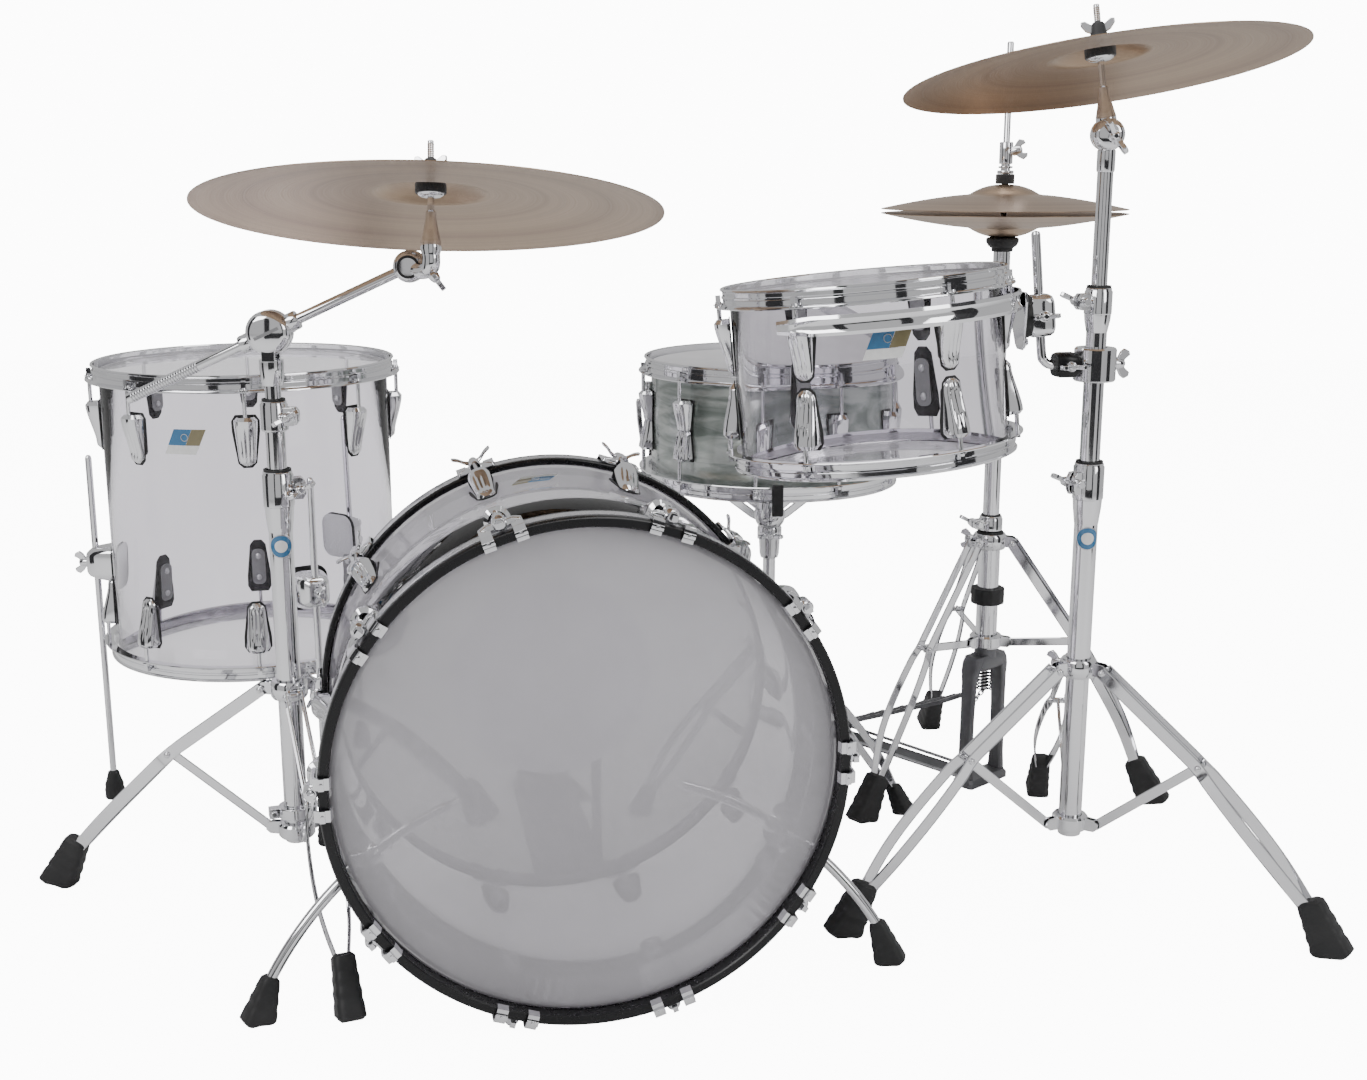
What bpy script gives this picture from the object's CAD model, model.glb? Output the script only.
# %% [markdown]
# # An acoustic drum kit with clear shells
#
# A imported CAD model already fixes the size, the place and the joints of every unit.

from math import atan2, cos, pi, radians, sin, sqrt

import bmesh
import bpy
from mathutils import Euler, Matrix, Vector


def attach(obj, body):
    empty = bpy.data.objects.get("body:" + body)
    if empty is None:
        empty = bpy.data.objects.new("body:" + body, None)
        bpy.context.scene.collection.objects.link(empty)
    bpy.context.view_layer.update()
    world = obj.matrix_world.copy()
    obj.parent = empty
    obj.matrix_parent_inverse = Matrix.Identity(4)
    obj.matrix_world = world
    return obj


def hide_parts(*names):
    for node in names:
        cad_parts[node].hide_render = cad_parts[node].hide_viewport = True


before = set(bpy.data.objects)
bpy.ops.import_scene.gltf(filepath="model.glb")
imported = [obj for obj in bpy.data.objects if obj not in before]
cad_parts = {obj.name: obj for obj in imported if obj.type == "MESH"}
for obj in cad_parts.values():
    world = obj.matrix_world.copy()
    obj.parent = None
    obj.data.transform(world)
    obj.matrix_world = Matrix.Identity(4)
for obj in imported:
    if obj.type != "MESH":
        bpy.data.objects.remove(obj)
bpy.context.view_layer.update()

# %% [markdown]
# Every unit has its own upright frame, so its pieces can be drawn around its own axis in plain numbers and then
# carried to their place by one matrix. The bass drum lies on its side: its frame's Z runs out of the front
# head, and its Y points up. The numbers are the CAD model's own.

# %% Frames of the units


def at(x, y, z):
    return Matrix.Translation((x, y, z))


def turn(angle, axis="Z"):
    return Matrix.Rotation(angle, 4, axis)


def facing(direction):
    """Rotation that carries +Z onto a direction."""
    return Vector((0, 0, 1)).rotation_difference(Vector(direction)).to_matrix().to_4x4()


# Quarter turns that carry +Z to -Y (the audience's side), +Y, +X and -X, and a half turn.
TO_FRONT, TO_REAR = turn(pi / 2, "X"), turn(-pi / 2, "X")
TO_RIGHT, TO_LEFT = turn(pi / 2, "Y"), turn(-pi / 2, "Y")
OVER = turn(pi, "X")

BASS = at(-0.1077, -0.3047, 0.2942) @ turn(radians(11.24)) @ TO_FRONT
FLOOR_TOM = at(-0.6102, 0.2106, 0)
RACK_TOM = at(0.2488, -0.1514, 0.816) @ Euler((radians(-1.24), radians(-5.2), 0)).to_matrix().to_4x4()
SNARE = at(0.1598, 0.2436, 0.675)
HAT = at(0.4978, 0.2646, 0)
CRASH = at(0.5448, -0.1304, 0)
BOOM = at(-0.4772, -0.1664, 0)
PEDAL = at(-0.1217, -0.1061, 0) @ turn(radians(11.24))
print("bass drum axis", [round(c, 3) for c in BASS.translation])

# %% [markdown]
# ## Finishes
#
# A finish is a small tree of shader nodes. Real surfaces are never quite even: chrome carries a faint orange
# peel and finger marks, rubber is grained, and castings are lightly pitted. So each finish lets a noise texture
# vary its roughness and its bump. Values that are the same everywhere stay on the shader's own sockets.

# %% A helper for finishes


def finish(name, colour, roughness, metallic=0.0, **sockets):
    """A Principled finish; sockets are extra values for the shader, by name with _ for a space."""
    made = bpy.data.materials.new(name)
    made.use_nodes = True
    shader = made.node_tree.nodes["Principled BSDF"]
    shader.inputs["Base Color"].default_value = (*colour, 1)
    shader.inputs["Roughness"].default_value = roughness
    shader.inputs["Metallic"].default_value = metallic
    for key, value in sockets.items():
        shader.inputs[key.replace("_", " ")].default_value = value
    return made


def noise_in(made, scale, detail, distortion=0.0):
    """A noise texture in object space, whose strength other nodes can read."""
    nodes, links = made.node_tree.nodes, made.node_tree.links
    where = nodes.new("ShaderNodeTexCoord")
    noise = nodes.new("ShaderNodeTexNoise")
    noise.inputs["Scale"].default_value = scale
    noise.inputs["Detail"].default_value = detail
    noise.inputs["Distortion"].default_value = distortion
    links.new(where.outputs["Object"], noise.inputs["Vector"])
    return noise


def roughened(made, strength, rough_low, rough_high, bump, distance):
    """Lets a strength from 0 to 1 set a finish's roughness, and raise a bump."""
    nodes, links = made.node_tree.nodes, made.node_tree.links
    shader = nodes["Principled BSDF"]
    spread = nodes.new("ShaderNodeMapRange")
    spread.inputs["To Min"].default_value = rough_low
    spread.inputs["To Max"].default_value = rough_high
    links.new(strength, spread.inputs["Value"])
    links.new(spread.outputs["Result"], shader.inputs["Roughness"])
    if bump:
        relief = nodes.new("ShaderNodeBump")
        relief.inputs["Strength"].default_value = bump
        relief.inputs["Distance"].default_value = distance
        links.new(strength, relief.inputs["Height"])
        links.new(relief.outputs["Normal"], shader.inputs["Normal"])


def coloured(made, strength, stops):
    """Lets a strength from 0 to 1 pick a finish's colour; stops are (position, colour) pairs."""
    nodes, links = made.node_tree.nodes, made.node_tree.links
    ramp = nodes.new("ShaderNodeValToRGB")
    stones = ramp.color_ramp.elements
    stones[0].position, stones[1].position = stops[0][0], stops[-1][0]
    for position, _ in stops[1:-1]:
        stones.new(position)
    for stone, (_, colour) in zip(stones, stops):
        stone.color = (*colour, 1)
    links.new(strength, ramp.inputs["Fac"])
    links.new(ramp.outputs["Color"], nodes["Principled BSDF"].inputs["Base Color"])


def uneven(made, scale, rough_low, rough_high, bump=0.0, distance=0.0002, detail=4.0):
    """Lets a noise vary a finish's roughness between two values, and raise a bump."""
    roughened(made, noise_in(made, scale, detail).outputs["Fac"], rough_low, rough_high, bump, distance)
    return made


def mottled(made, scale, colours, detail=3.0, distortion=0.0):
    """Lets a second noise vary a finish's colour between two colours."""
    noise = noise_in(made, scale, detail, distortion)
    coloured(made, noise.outputs["Fac"], [(0.3, colours[0]), (0.7, colours[1])])
    return made


print("helpers for finishes ready")

# %% Plain finishes
chrome = uneven(finish("chrome_plate", (0.83, 0.83, 0.85), 0.06, 1.0), 60, 0.035, 0.1, 0.02, 0.0001)
satin_steel = uneven(finish("satin_steel", (0.6, 0.6, 0.62), 0.3, 1.0), 500, 0.22, 0.38, 0.05, 0.0001)
inner_plate = mottled(
    uneven(finish("grey_backing_plate", (0.26, 0.26, 0.27), 0.4, 0.25), 300, 0.32, 0.5, 0.05, 0.0001),
    20, [(0.23, 0.23, 0.24), (0.3, 0.3, 0.31)],
)
rubber = mottled(
    uneven(finish("black_rubber", (0.012, 0.012, 0.013), 0.55), 900, 0.45, 0.65, 0.15, 0.0003),
    25, [(0.008, 0.008, 0.009), (0.018, 0.018, 0.019)],
)
casting = mottled(
    uneven(finish("grey_casting", (0.16, 0.16, 0.17), 0.42, 0.75), 1200, 0.35, 0.52, 0.25, 0.0003),
    18, [(0.13, 0.13, 0.14), (0.19, 0.19, 0.2)],
)


def felted(name, colour, colours):
    """Wool felt: matt, with a soft sheen and a fine coarse nap."""
    wool = finish(name, colour, 0.9, Sheen_Weight=0.4, Sheen_Roughness=0.5)
    return mottled(uneven(wool, 2200, 0.8, 1.0, 0.6, 0.0006, 6.0), 700, colours)


felt = felted("black_felt", (0.02, 0.02, 0.022), [(0.012, 0.012, 0.014), (0.035, 0.035, 0.038)])
white_felt = felted("white_felt", (0.7, 0.69, 0.66), [(0.62, 0.61, 0.58), (0.75, 0.74, 0.71)])
lacquer = mottled(
    uneven(finish("black_lacquer", (0.006, 0.006, 0.007), 0.26, Specular_IOR_Level=0.35),
           90, 0.22, 0.34, 0.03, 0.0002),
    12, [(0.004, 0.004, 0.005), (0.009, 0.009, 0.01)],
)
inlay = mottled(
    uneven(finish("silver_inlay", (0.42, 0.42, 0.44), 0.3, 0.6, Coat_Weight=0.7, Coat_Roughness=0.05),
           400, 0.2, 0.35, 0.02, 0.0001),
    160, [(0.34, 0.34, 0.36), (0.52, 0.52, 0.54)], 2.0, 0.6,
)
print("plain finishes", [made.name for made in bpy.data.materials])

# %% [markdown]
# ### Acrylic and film
#
# A clear shell is a 6 mm wall of acrylic, faintly tinted. It is modelled as a solid with real thickness, so the
# renderer can bend light at both faces by itself. A drumhead is a thin polyester film. The front head is hazy:
# it lets about a quarter of what lies behind it show, which an alpha value gives without any blur.

# %% Clear finishes
acrylic = uneven(
    finish("clear_acrylic", (0.915, 0.9, 0.935), 0.02, Transmission_Weight=1.0, IOR=1.22), 30, 0.0, 0.03,
)
player_film = mottled(
    uneven(finish("player_film", (0.55, 0.535, 0.57), 0.1, Alpha=0.42), 40, 0.07, 0.14, 0.02, 0.0002),
    5, [(0.5, 0.485, 0.52), (0.6, 0.585, 0.62)],
)
clear_film = mottled(
    uneven(finish("clear_film", (0.82, 0.81, 0.84), 0.12, Alpha=0.3), 40, 0.08, 0.16, 0.02, 0.0002),
    9, [(0.8, 0.79, 0.82), (0.86, 0.85, 0.88)],
)
hazy_film = mottled(
    uneven(finish("hazy_film", (0.56, 0.54, 0.57), 0.06, Alpha=0.56), 35, 0.03, 0.08, 0.02, 0.0003),
    4, [(0.47, 0.455, 0.485), (0.54, 0.525, 0.56)],
)
patch_film = mottled(
    uneven(finish("pale_patch", (0.9, 0.89, 0.93), 0.35), 60, 0.3, 0.42, 0.03, 0.0002),
    30, [(0.87, 0.86, 0.91), (0.94, 0.93, 0.96)],
)
white_film = mottled(
    uneven(finish("coated_film", (0.74, 0.73, 0.75), 0.5, Alpha=0.55), 900, 0.42, 0.6, 0.2, 0.0002),
    25, [(0.7, 0.69, 0.71), (0.78, 0.77, 0.79)],
)
print("clear finishes", acrylic.name, player_film.name, clear_film.name, hazy_film.name, white_film.name)

# %% [markdown]
# ### Lathed bronze and pearl
#
# A cymbal is turned on a lathe, which leaves hundreds of fine rings that spread every highlight into a streak
# across them. The cymbals carry a map named `turned`, whose second number is the distance from the middle, so
# one noise of that single number draws rings that no two cymbals share. The snare's shell wears a grey-green
# pearl wrap whose bands wander round it.

# %% Bronze and pearl


def lathed_bronze():
    """Bronze whose colour and roughness vary only with the distance from the middle."""
    made = finish("lathed_bronze", (0.42, 0.3, 0.205), 0.3, 1.0)
    nodes, links = made.node_tree.nodes, made.node_tree.links
    turned_map = nodes.new("ShaderNodeUVMap")
    turned_map.uv_map = "turned"
    split = nodes.new("ShaderNodeSeparateXYZ")
    links.new(turned_map.outputs["UV"], split.inputs["Vector"])
    strengths = []
    for scale, detail in ((420, 5), (26, 3)):
        noise = nodes.new("ShaderNodeTexNoise")
        noise.noise_dimensions = "1D"
        noise.inputs["Scale"].default_value = scale
        noise.inputs["Detail"].default_value = detail
        links.new(split.outputs["Y"], noise.inputs["W"])
        strengths.append(noise.outputs["Fac"])
    rings, bands = strengths
    coloured(made, bands, [(0.3, (0.34, 0.235, 0.16)), (0.7, (0.47, 0.345, 0.24))])
    roughened(made, rings, 0.24, 0.42, 0.35, 0.0004)
    return made


def pearl_wrap():
    """Pearl whose bands wander round the drum, because the noise is squeezed along its height."""
    base = finish("grey_green_pearl", (0.4, 0.44, 0.41), 0.22, 0.35, Coat_Weight=0.8, Coat_Roughness=0.04)
    made = uneven(base, 200, 0.16, 0.28)
    nodes, links = made.node_tree.nodes, made.node_tree.links
    noise = noise_in(made, 7, 3, 1.4)
    mapping = nodes.new("ShaderNodeMapping")
    mapping.inputs["Scale"].default_value = (1, 1, 5.5)
    links.new(noise.inputs["Vector"].links[0].from_socket, mapping.inputs["Vector"])
    links.new(mapping.outputs["Vector"], noise.inputs["Vector"])
    stops = [(0.36, (0.2, 0.235, 0.215)), (0.5, (0.36, 0.4, 0.375)), (0.62, (0.55, 0.585, 0.56))]
    coloured(made, noise.outputs["Fac"], stops)
    return made


bronze = lathed_bronze()
pearl = pearl_wrap()
print("finishes", len(bpy.data.materials))

# %% [markdown]
# ## Ways to make a shape
#
# Most of a drum kit is turned, bent or pressed. So four small makers cover nearly all of it: a profile spun
# about an axis, a round rod swept along a path, a flat plate cut to an outline, and a skin stretched over
# sections. Each gives a closed skin. A piece is then put in its place by moving its points, and its object
# stays at the origin.

# %% Spun profiles


def spun(profile, sides=96):
    """Spins (radius, height) points about Z. Ends on the axis are closed there, others make a ring."""
    shape = bmesh.new()
    lay = shape.loops.layers.uv.new("turned")
    on_axis = profile[0][0] < 1e-7
    rows, travel = [], [0.0]
    for before, after in zip(profile, profile[1:]):
        travel.append(travel[-1] + (Vector(after) - Vector(before)).length)
    for radius, height in profile:
        if radius < 1e-7:
            rows.append([shape.verts.new((0, 0, height))] * sides)
        else:
            spots = [2 * pi * i / sides for i in range(sides)]
            rows.append([shape.verts.new((radius * cos(a), radius * sin(a), height)) for a in spots])
    pairs = list(zip(range(len(rows)), range(1, len(rows))))
    if not on_axis:
        pairs.append((len(rows) - 1, 0))
    for low, high in pairs:
        for i in range(sides):
            j = (i + 1) % sides
            corners = [(rows[low][i], i, low), (rows[low][j], i + 1, low),
                       (rows[high][j], i + 1, high), (rows[high][i], i, high)]
            kept = []
            for corner in corners:
                if corner[0] not in [k[0] for k in kept]:
                    kept.append(corner)
            if len(kept) < 3:
                continue
            face = shape.faces.new([k[0] for k in kept])
            for loop, (_, around, along) in zip(face.loops, kept):
                loop[lay].uv = (around / sides, travel[along])
    bmesh.ops.recalc_face_normals(shape, faces=shape.faces)
    return shape


def curved(points, steps=8):
    """A smooth path through the points."""
    points = [Vector(p) for p in points]
    ends = [points[0] * 2 - points[1], *points, points[-1] * 2 - points[-2]]
    path = []
    for a, b, c, d in zip(ends, ends[1:], ends[2:], ends[3:]):
        for k in range(steps):
            t = k / steps
            path.append(0.5 * (2 * b + (c - a) * t + (2 * a - 5 * b + 4 * c - d) * t * t
                               + (3 * b - a - 3 * c + d) * t ** 3))
    return [*path, points[-1]]


def skin(sections, closed=False):
    """A skin over sections of equal counts: capped at both ends, or closed into a ring."""
    shape = bmesh.new()
    rings = [[shape.verts.new(p) for p in section] for section in sections]
    for low, high in zip(rings, rings[1:] + rings[:1] * closed):
        for i in range(len(low)):
            j = (i + 1) % len(low)
            shape.faces.new((low[i], low[j], high[j], high[i]))
    if not closed:
        shape.faces.new(rings[0])
        shape.faces.new(rings[-1])
    bmesh.ops.recalc_face_normals(shape, faces=shape.faces)
    return shape


def rod(points, radius, sides=14):
    """A round rod along a path, whose sections turn as little as they can from one to the next."""
    points = [Vector(p) for p in points]
    sections, across = [], None
    for i, point in enumerate(points):
        along = (points[min(i + 1, len(points) - 1)] - points[max(i - 1, 0)]).normalized()
        across = along.orthogonal() if across is None else across - along * across.dot(along)
        across.normalize()
        up = along.cross(across)
        spots = [2 * pi * k / sides for k in range(sides)]
        sections.append([point + radius * (cos(a) * across + sin(a) * up) for a in spots])
    return skin(sections)


print("rods and skins ready")

# %% Plates and blocks


def plate(outline, thick, offset=0.0):
    """A flat plate: an (x, z) outline with its thickness along Y."""
    return skin([[(x, offset + side * thick / 2, z) for x, z in outline] for side in (-1, 1)])


def brick(low, high):
    """A block between two opposite corners."""
    outline = [(low[0], low[2]), (high[0], low[2]), (high[0], high[2]), (low[0], high[2])]
    return plate(outline, high[1] - low[1], (high[1] + low[1]) / 2)


def rounded(width, height, radius, steps=5):
    """Outline of a rectangle with round corners, about the origin."""
    points = []
    for cx, cz, start in ((1, 1, 0), (-1, 1, 90), (-1, -1, 180), (1, -1, 270)):
        for k in range(steps + 1):
            a = radians(start + 90 * k / steps)
            points.append((cx * (width / 2 - radius) + radius * cos(a),
                           cz * (height / 2 - radius) + radius * sin(a)))
    return points


def strip(points, depth):
    """Outline of a bar of even depth along (x, z) points."""
    upper, lower = [], []
    for i, point in enumerate(points):
        along = (Vector(points[min(i + 1, len(points) - 1)]) - Vector(points[max(i - 1, 0)])).normalized()
        across = Vector((-along.y, along.x)) * depth / 2
        upper.append(tuple(Vector(point) + across))
        lower.append(tuple(Vector(point) - across))
    return upper + lower[::-1]


def block(steps, corner, axis="x", centre=(0, 0), smooth=5):
    """A block of rounded sections (where, wide, tall) along X, or along Z."""
    sections = []
    for where, wide, tall in steps:
        outline = [(centre[0] + u, centre[1] + v) for u, v in rounded(wide, tall, corner, smooth)]
        sections.append([(where, u, v) if axis == "x" else (u, v, where) for u, v in outline])
    return skin(sections)


def wall_pad(wide, tall, corner, thick):
    """A thin rounded pad that faces +X, to lie on a drum's wall."""
    return moved(plate(rounded(wide, tall, corner), thick), turn(pi / 2))


def as_mesh(name, shape):
    mesh = bpy.data.meshes.new(name)
    shape.to_mesh(mesh)
    shape.free()
    return mesh


def joined(*shapes):
    """Several closed skins in one mesh."""
    whole = bmesh.new()
    for shape in shapes:
        mesh = as_mesh("joining", shape)
        whole.from_mesh(mesh)
        bpy.data.meshes.remove(mesh)
    return whole


def moved(shape, matrix):
    shape.transform(matrix)
    return shape


print("plates and blocks ready")

# %% [markdown]
# A narrow bevel can soften its edges, and it may replace one of the model's own simple solids. All of that is
# the same for every piece, so one function does it.

# %% Placing a finished piece


def in_scene(name, data):
    made = bpy.data.objects.new(name, data)
    bpy.context.scene.collection.objects.link(made)
    return made


def piece(name, shape, material, body, place=Matrix(), soften=0.0, sharp=38, replaces=()):
    if isinstance(shape, bpy.types.Mesh):
        mesh = shape
        mesh.name = name
        mesh.transform(place)
    else:
        mesh = as_mesh(name, moved(shape, place))
    made = in_scene(name, mesh)
    mesh.materials.clear()
    mesh.materials.append(material)
    mesh.shade_smooth()
    mesh.set_sharp_from_angle(angle=radians(sharp))
    if soften:
        bevel = made.modifiers.new("softened edges", "BEVEL")
        bevel.width, bevel.segments, bevel.limit_method = soften, 2, "ANGLE"
        bevel.angle_limit = radians(40)
    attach(made, body)
    if replaces:
        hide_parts(*replaces)
    return made


# %% [markdown]
# ## Repeats with Geometry Nodes
#
# Rods, lugs, claws and screws sit in even rings round a drum. One node tree makes every such ring: it sets
# points on a circle, turns a copy of the given piece outwards at each, and joins the copies. The same idea with
# a straight row makes the snare's coiled wires, and a chain whose links turn by a quarter each time.

# %% The ring and the row


def new_tree(name, inputs):
    tree = bpy.data.node_groups.new(name, "GeometryNodeTree")
    tree.interface.new_socket("Geometry", in_out="OUTPUT", socket_type="NodeSocketGeometry")
    for label, kind in inputs:
        tree.interface.new_socket(label, in_out="INPUT", socket_type=f"NodeSocket{kind}")
    return tree, tree.nodes.new("NodeGroupInput"), tree.nodes.new("NodeGroupOutput")


def maths(tree, operation, a, b=None):
    node = tree.nodes.new("ShaderNodeMath")
    node.operation = operation
    for socket, value in zip(node.inputs, (a, b)):
        if isinstance(value, (int, float)):
            socket.default_value = value
        elif value is not None:
            tree.links.new(value, socket)
    return node.outputs[0]


def joined_copies(tree, given, points, rotation, out):
    """Ends a tree: copies of the given piece on points, made real, with the given finish."""
    link = tree.links.new
    info = tree.nodes.new("GeometryNodeObjectInfo")
    copies = tree.nodes.new("GeometryNodeInstanceOnPoints")
    real = tree.nodes.new("GeometryNodeRealizeInstances")
    coat = tree.nodes.new("GeometryNodeSetMaterial")
    link(given.outputs["Piece"], info.inputs["Object"])
    link(points, copies.inputs["Points"])
    link(info.outputs["Geometry"], copies.inputs["Instance"])
    link(rotation, copies.inputs["Rotation"])
    link(copies.outputs["Instances"], real.inputs["Geometry"])
    link(real.outputs["Geometry"], coat.inputs["Geometry"])
    link(given.outputs["Finish"], coat.inputs["Material"])
    link(coat.outputs["Geometry"], out.inputs["Geometry"])


def copies_tree(name, inputs, spread):
    """A tree of copies on points; spread(tree, given, index) gives each copy's position and turn about Z."""
    tree, given, out = new_tree(name, [("Piece", "Object"), ("Count", "Int"), *inputs, ("Finish", "Material")])
    link = tree.links.new
    position, angle = spread(tree, given.outputs, tree.nodes.new("GeometryNodeInputIndex").outputs[0])
    points = tree.nodes.new("GeometryNodePoints")
    link(given.outputs["Count"], points.inputs["Count"])
    link(position, points.inputs["Position"])
    heading = tree.nodes.new("ShaderNodeCombineXYZ")
    link(angle, heading.inputs["Z"])
    spin = tree.nodes.new("FunctionNodeEulerToRotation")
    link(heading.outputs[0], spin.inputs[0])
    joined_copies(tree, given, points.outputs[0], spin.outputs[0], out)
    return tree


def round_a_ring(tree, given, index):
    angle = maths(tree, "ADD", maths(tree, "MULTIPLY", index, given["Step angle"]), given["First angle"])
    spot = tree.nodes.new("ShaderNodeCombineXYZ")
    for axis, operation in (("X", "COSINE"), ("Y", "SINE")):
        tree.links.new(maths(tree, "MULTIPLY", maths(tree, operation, angle), given["Radius"]),
                       spot.inputs[axis])
    return spot.outputs[0], angle


def along_a_row(tree, given, index):
    spot = tree.nodes.new("ShaderNodeVectorMath")
    spot.operation = "SCALE"
    tree.links.new(given["Step"], spot.inputs[0])
    tree.links.new(index, spot.inputs["Scale"])
    quarters = maths(tree, "MULTIPLY", index, given["Quarter turns"])
    return spot.outputs[0], maths(tree, "MULTIPLY", quarters, pi / 2)


RING = copies_tree("ring_of_pieces", [("Radius", "Float"), ("First angle", "Float"), ("Step angle", "Float")],
                   round_a_ring)
ROW = copies_tree("row_of_pieces", [("Step", "Vector"), ("Quarter turns", "Float")], along_a_row)
print("trees", [tree.name for tree in bpy.data.node_groups])

# %% Running a tree


def grown(tree, values, sources=()):
    """Runs a tree on an empty host and returns its result as a plain mesh; sources are removed after."""
    host = in_scene("host", bpy.data.meshes.new("host"))
    modifier = host.modifiers.new("tree", "NODES")
    modifier.node_group = tree
    for item in tree.interface.items_tree:
        if item.in_out == "INPUT":
            modifier[item.identifier] = values[item.name]
    evaluated = host.evaluated_get(bpy.context.evaluated_depsgraph_get())
    mesh = bpy.data.meshes.new_from_object(evaluated)
    bpy.data.objects.remove(host)
    for source in sources:
        bpy.data.objects.remove(source)
    return mesh


def pattern(shape):
    """An object that holds the piece a tree repeats, until the tree has run."""
    return in_scene("pattern", as_mesh("pattern", shape))


def ring(name, shape, count, radius, first, material, body, place=Matrix(), step=None):
    """A ring of copies of a shape, each with its +X outwards, as one piece."""
    source = pattern(shape)
    values = {"Piece": source, "Count": count, "Radius": float(radius), "First angle": float(first),
              "Step angle": float(2 * pi / count if step is None else step), "Finish": material}
    return piece(name, grown(RING, values, [source]), material, body, place)


print("rings ready")

# %% [markdown]
# ## What every drum has
#
# A shell is a tube whose rims are cut to bearing edges. A film head lies on each edge, and a pressed steel hoop
# pulls it down by its flange. The hoop's wall is rolled over at the top and pinched in the middle, which makes
# it stiff. All of these are profiles spun about the drum's axis, with `up` telling which rim they belong to.

# %% Turned parts of a drum
FLANGE = 0.0135  # from the shell to the tension rods
ACRYLIC = 0.006  # a clear shell's wall
ROD_DROP = 0.01  # from the bearing edge down to the hoop's flange
SHELL_SIDES, BASS_SIDES = 128, 160


def shell_profile(radius, wall, low, high):
    inner, tip = radius - wall, radius - wall * 0.45
    return [(inner, low + 0.004), (tip, low), (radius - 0.001, low + 0.0012), (radius, low + 0.0025),
            (radius, high - 0.0025), (radius - 0.001, high - 0.0012), (tip, high), (inner, high - 0.004)]


def hoop_profile(radius, edge, up):
    rolled = [
        (0.0062, -0.0125), (0.018, -0.0127), (0.0189, -0.0118), (0.0186, -0.0106), (0.01, -0.0098),
        (0.0083, -0.0082), (0.008, -0.003), (0.0094, -0.0014), (0.0094, 0.0002), (0.008, 0.0016),
        (0.008, 0.0062), (0.0096, 0.007), (0.0107, 0.0084), (0.0103, 0.0099), (0.0086, 0.0107),
        (0.0066, 0.0103), (0.0058, 0.009), (0.0063, 0.007),
    ]
    return [(radius + out, edge + up * rise) for out, rise in rolled]


def film_profile(radius, edge, up):
    skirt = radius + 0.005
    over = [(0, 0.001), (radius - 0.006, 0.001), (radius - 0.0015, 0.0007), (radius + 0.002, -0.0008),
            (skirt - 0.0004, -0.004), (skirt, -0.009)]
    under = [(skirt - 0.0005, -0.009), (skirt - 0.0009, -0.0038), (radius + 0.0017, -0.0012),
             (radius - 0.0016, 0.0003), (radius - 0.006, 0.0006), (0, 0.0006)]
    return [(r, edge + up * z) for r, z in over + under]


print("hoop profile points", len(hoop_profile(0.2, 0, 1)))

# %% [markdown]
# A lug is a hollow chrome casting bolted through the shell. It takes the tension rod from above, so it is deep
# at that end, and it tapers to a low tail with pressed flutes. It is drawn as a skin over cross-sections: each
# section is a shallow arch whose top edge is waved by the flutes. A dark gasket lies under it, and inside the
# shell a grey plate with two screws backs it up, which shows through a clear shell.

# %% The lug and what goes with it


def lug(height=0.068, wide=0.034, tail=0.024, deep=0.0205, low=0.0085, steps=14, across=20):
    """Lug on a wall at x = 0: +X outwards, rod end at z = 0, tail at z = -height."""
    sections = []
    for i in range(steps + 1):
        t = i / steps
        ease = t * t * (3 - 2 * t)
        cap = sqrt(max(1 - (1 - min(t / 0.1, 1)) ** 2, 0.0))
        toe = sqrt(max(1 - (1 - min((1 - t) / 0.16, 1)) ** 2, 0.0))
        half = (wide + (tail - wide) * ease) / 2 * (0.72 + 0.28 * cap) * (0.45 + 0.55 * toe)
        depth = (deep + (low - deep) * min(ease * 1.1, 1)) * (0.8 + 0.2 * cap) * (0.35 + 0.65 * toe)
        flutes = 0.0014 * min(max((t - 0.18) / 0.2, 0), 1) * min(max((0.93 - t) / 0.15, 0), 1)
        section = []
        for k in range(across + 1):
            s = -1 + 2 * k / across
            arch = (1 - abs(s) ** 3.4) ** 0.55
            wave = flutes * (0.5 + 0.5 * cos(s * 5 * pi)) * (1 if abs(s) < 0.62 else 0)
            section.append((depth * arch - wave + 0.0012, half * s, -height * t))
        sections.append(section)
    return skin(sections)


def lug_gasket(height=0.068, wide=0.034, tail=0.024):
    half = [(wide / 2 * 0.8, 0.0022), (wide / 2 + 0.0018, -0.006), (wide / 2 + 0.0015, -height * 0.3),
            (tail / 2 + 0.0022, -height * 0.75), (tail / 2 + 0.0005, -height * 0.94),
            (tail / 2 * 0.5, -height - 0.0025)]
    outline = [(-half[0][0], half[0][1]), *half, *[(-y, z) for y, z in half[:0:-1]]]
    return moved(plate(outline, 0.0014, -0.0008), turn(pi / 2))


def backing_plate():
    return moved(wall_pad(0.021, 0.05, 0.008, 0.0014), at(-0.0009, 0, -0.034))


def backing_screws():
    heads = []
    for z in (-0.019, -0.049):
        dome = spun([(0, 0), (0.0042, 0), (0.004, 0.0014), (0.0026, 0.0026), (0, 0.003)], 14)
        heads.append(moved(dome, at(-0.0016, 0, z) @ TO_LEFT))
    return joined(*heads)


def square_key(low, high, half=0.0032):
    corners = ((half, half), (-half, half), (-half, -half), (half, -half))
    return skin([[(x, y, z) for x, y in corners] for z in (low, high)])


def tension_rod(length):
    """Rod through the hoop's flange at z = 0: square key head and washer above, thread below."""
    washer = spun([(0, 0.0), (0.0064, 0.0), (0.0064, 0.001), (0.0048, 0.0014), (0, 0.0014)], 16)
    head = square_key(0.0012, 0.012)
    shoulder = spun([(0, 0.0012), (0.0046, 0.0012), (0.004, 0.0042), (0, 0.0042)], 16)
    stem = spun([(0, -length), (0.0026, -length), (0.0029, -length + 0.002), (0.0029, 0.0), (0, 0.0)], 10)
    return joined(washer, head, shoulder, stem)


print("lug ready")


# %% A drum's rim hardware


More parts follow.
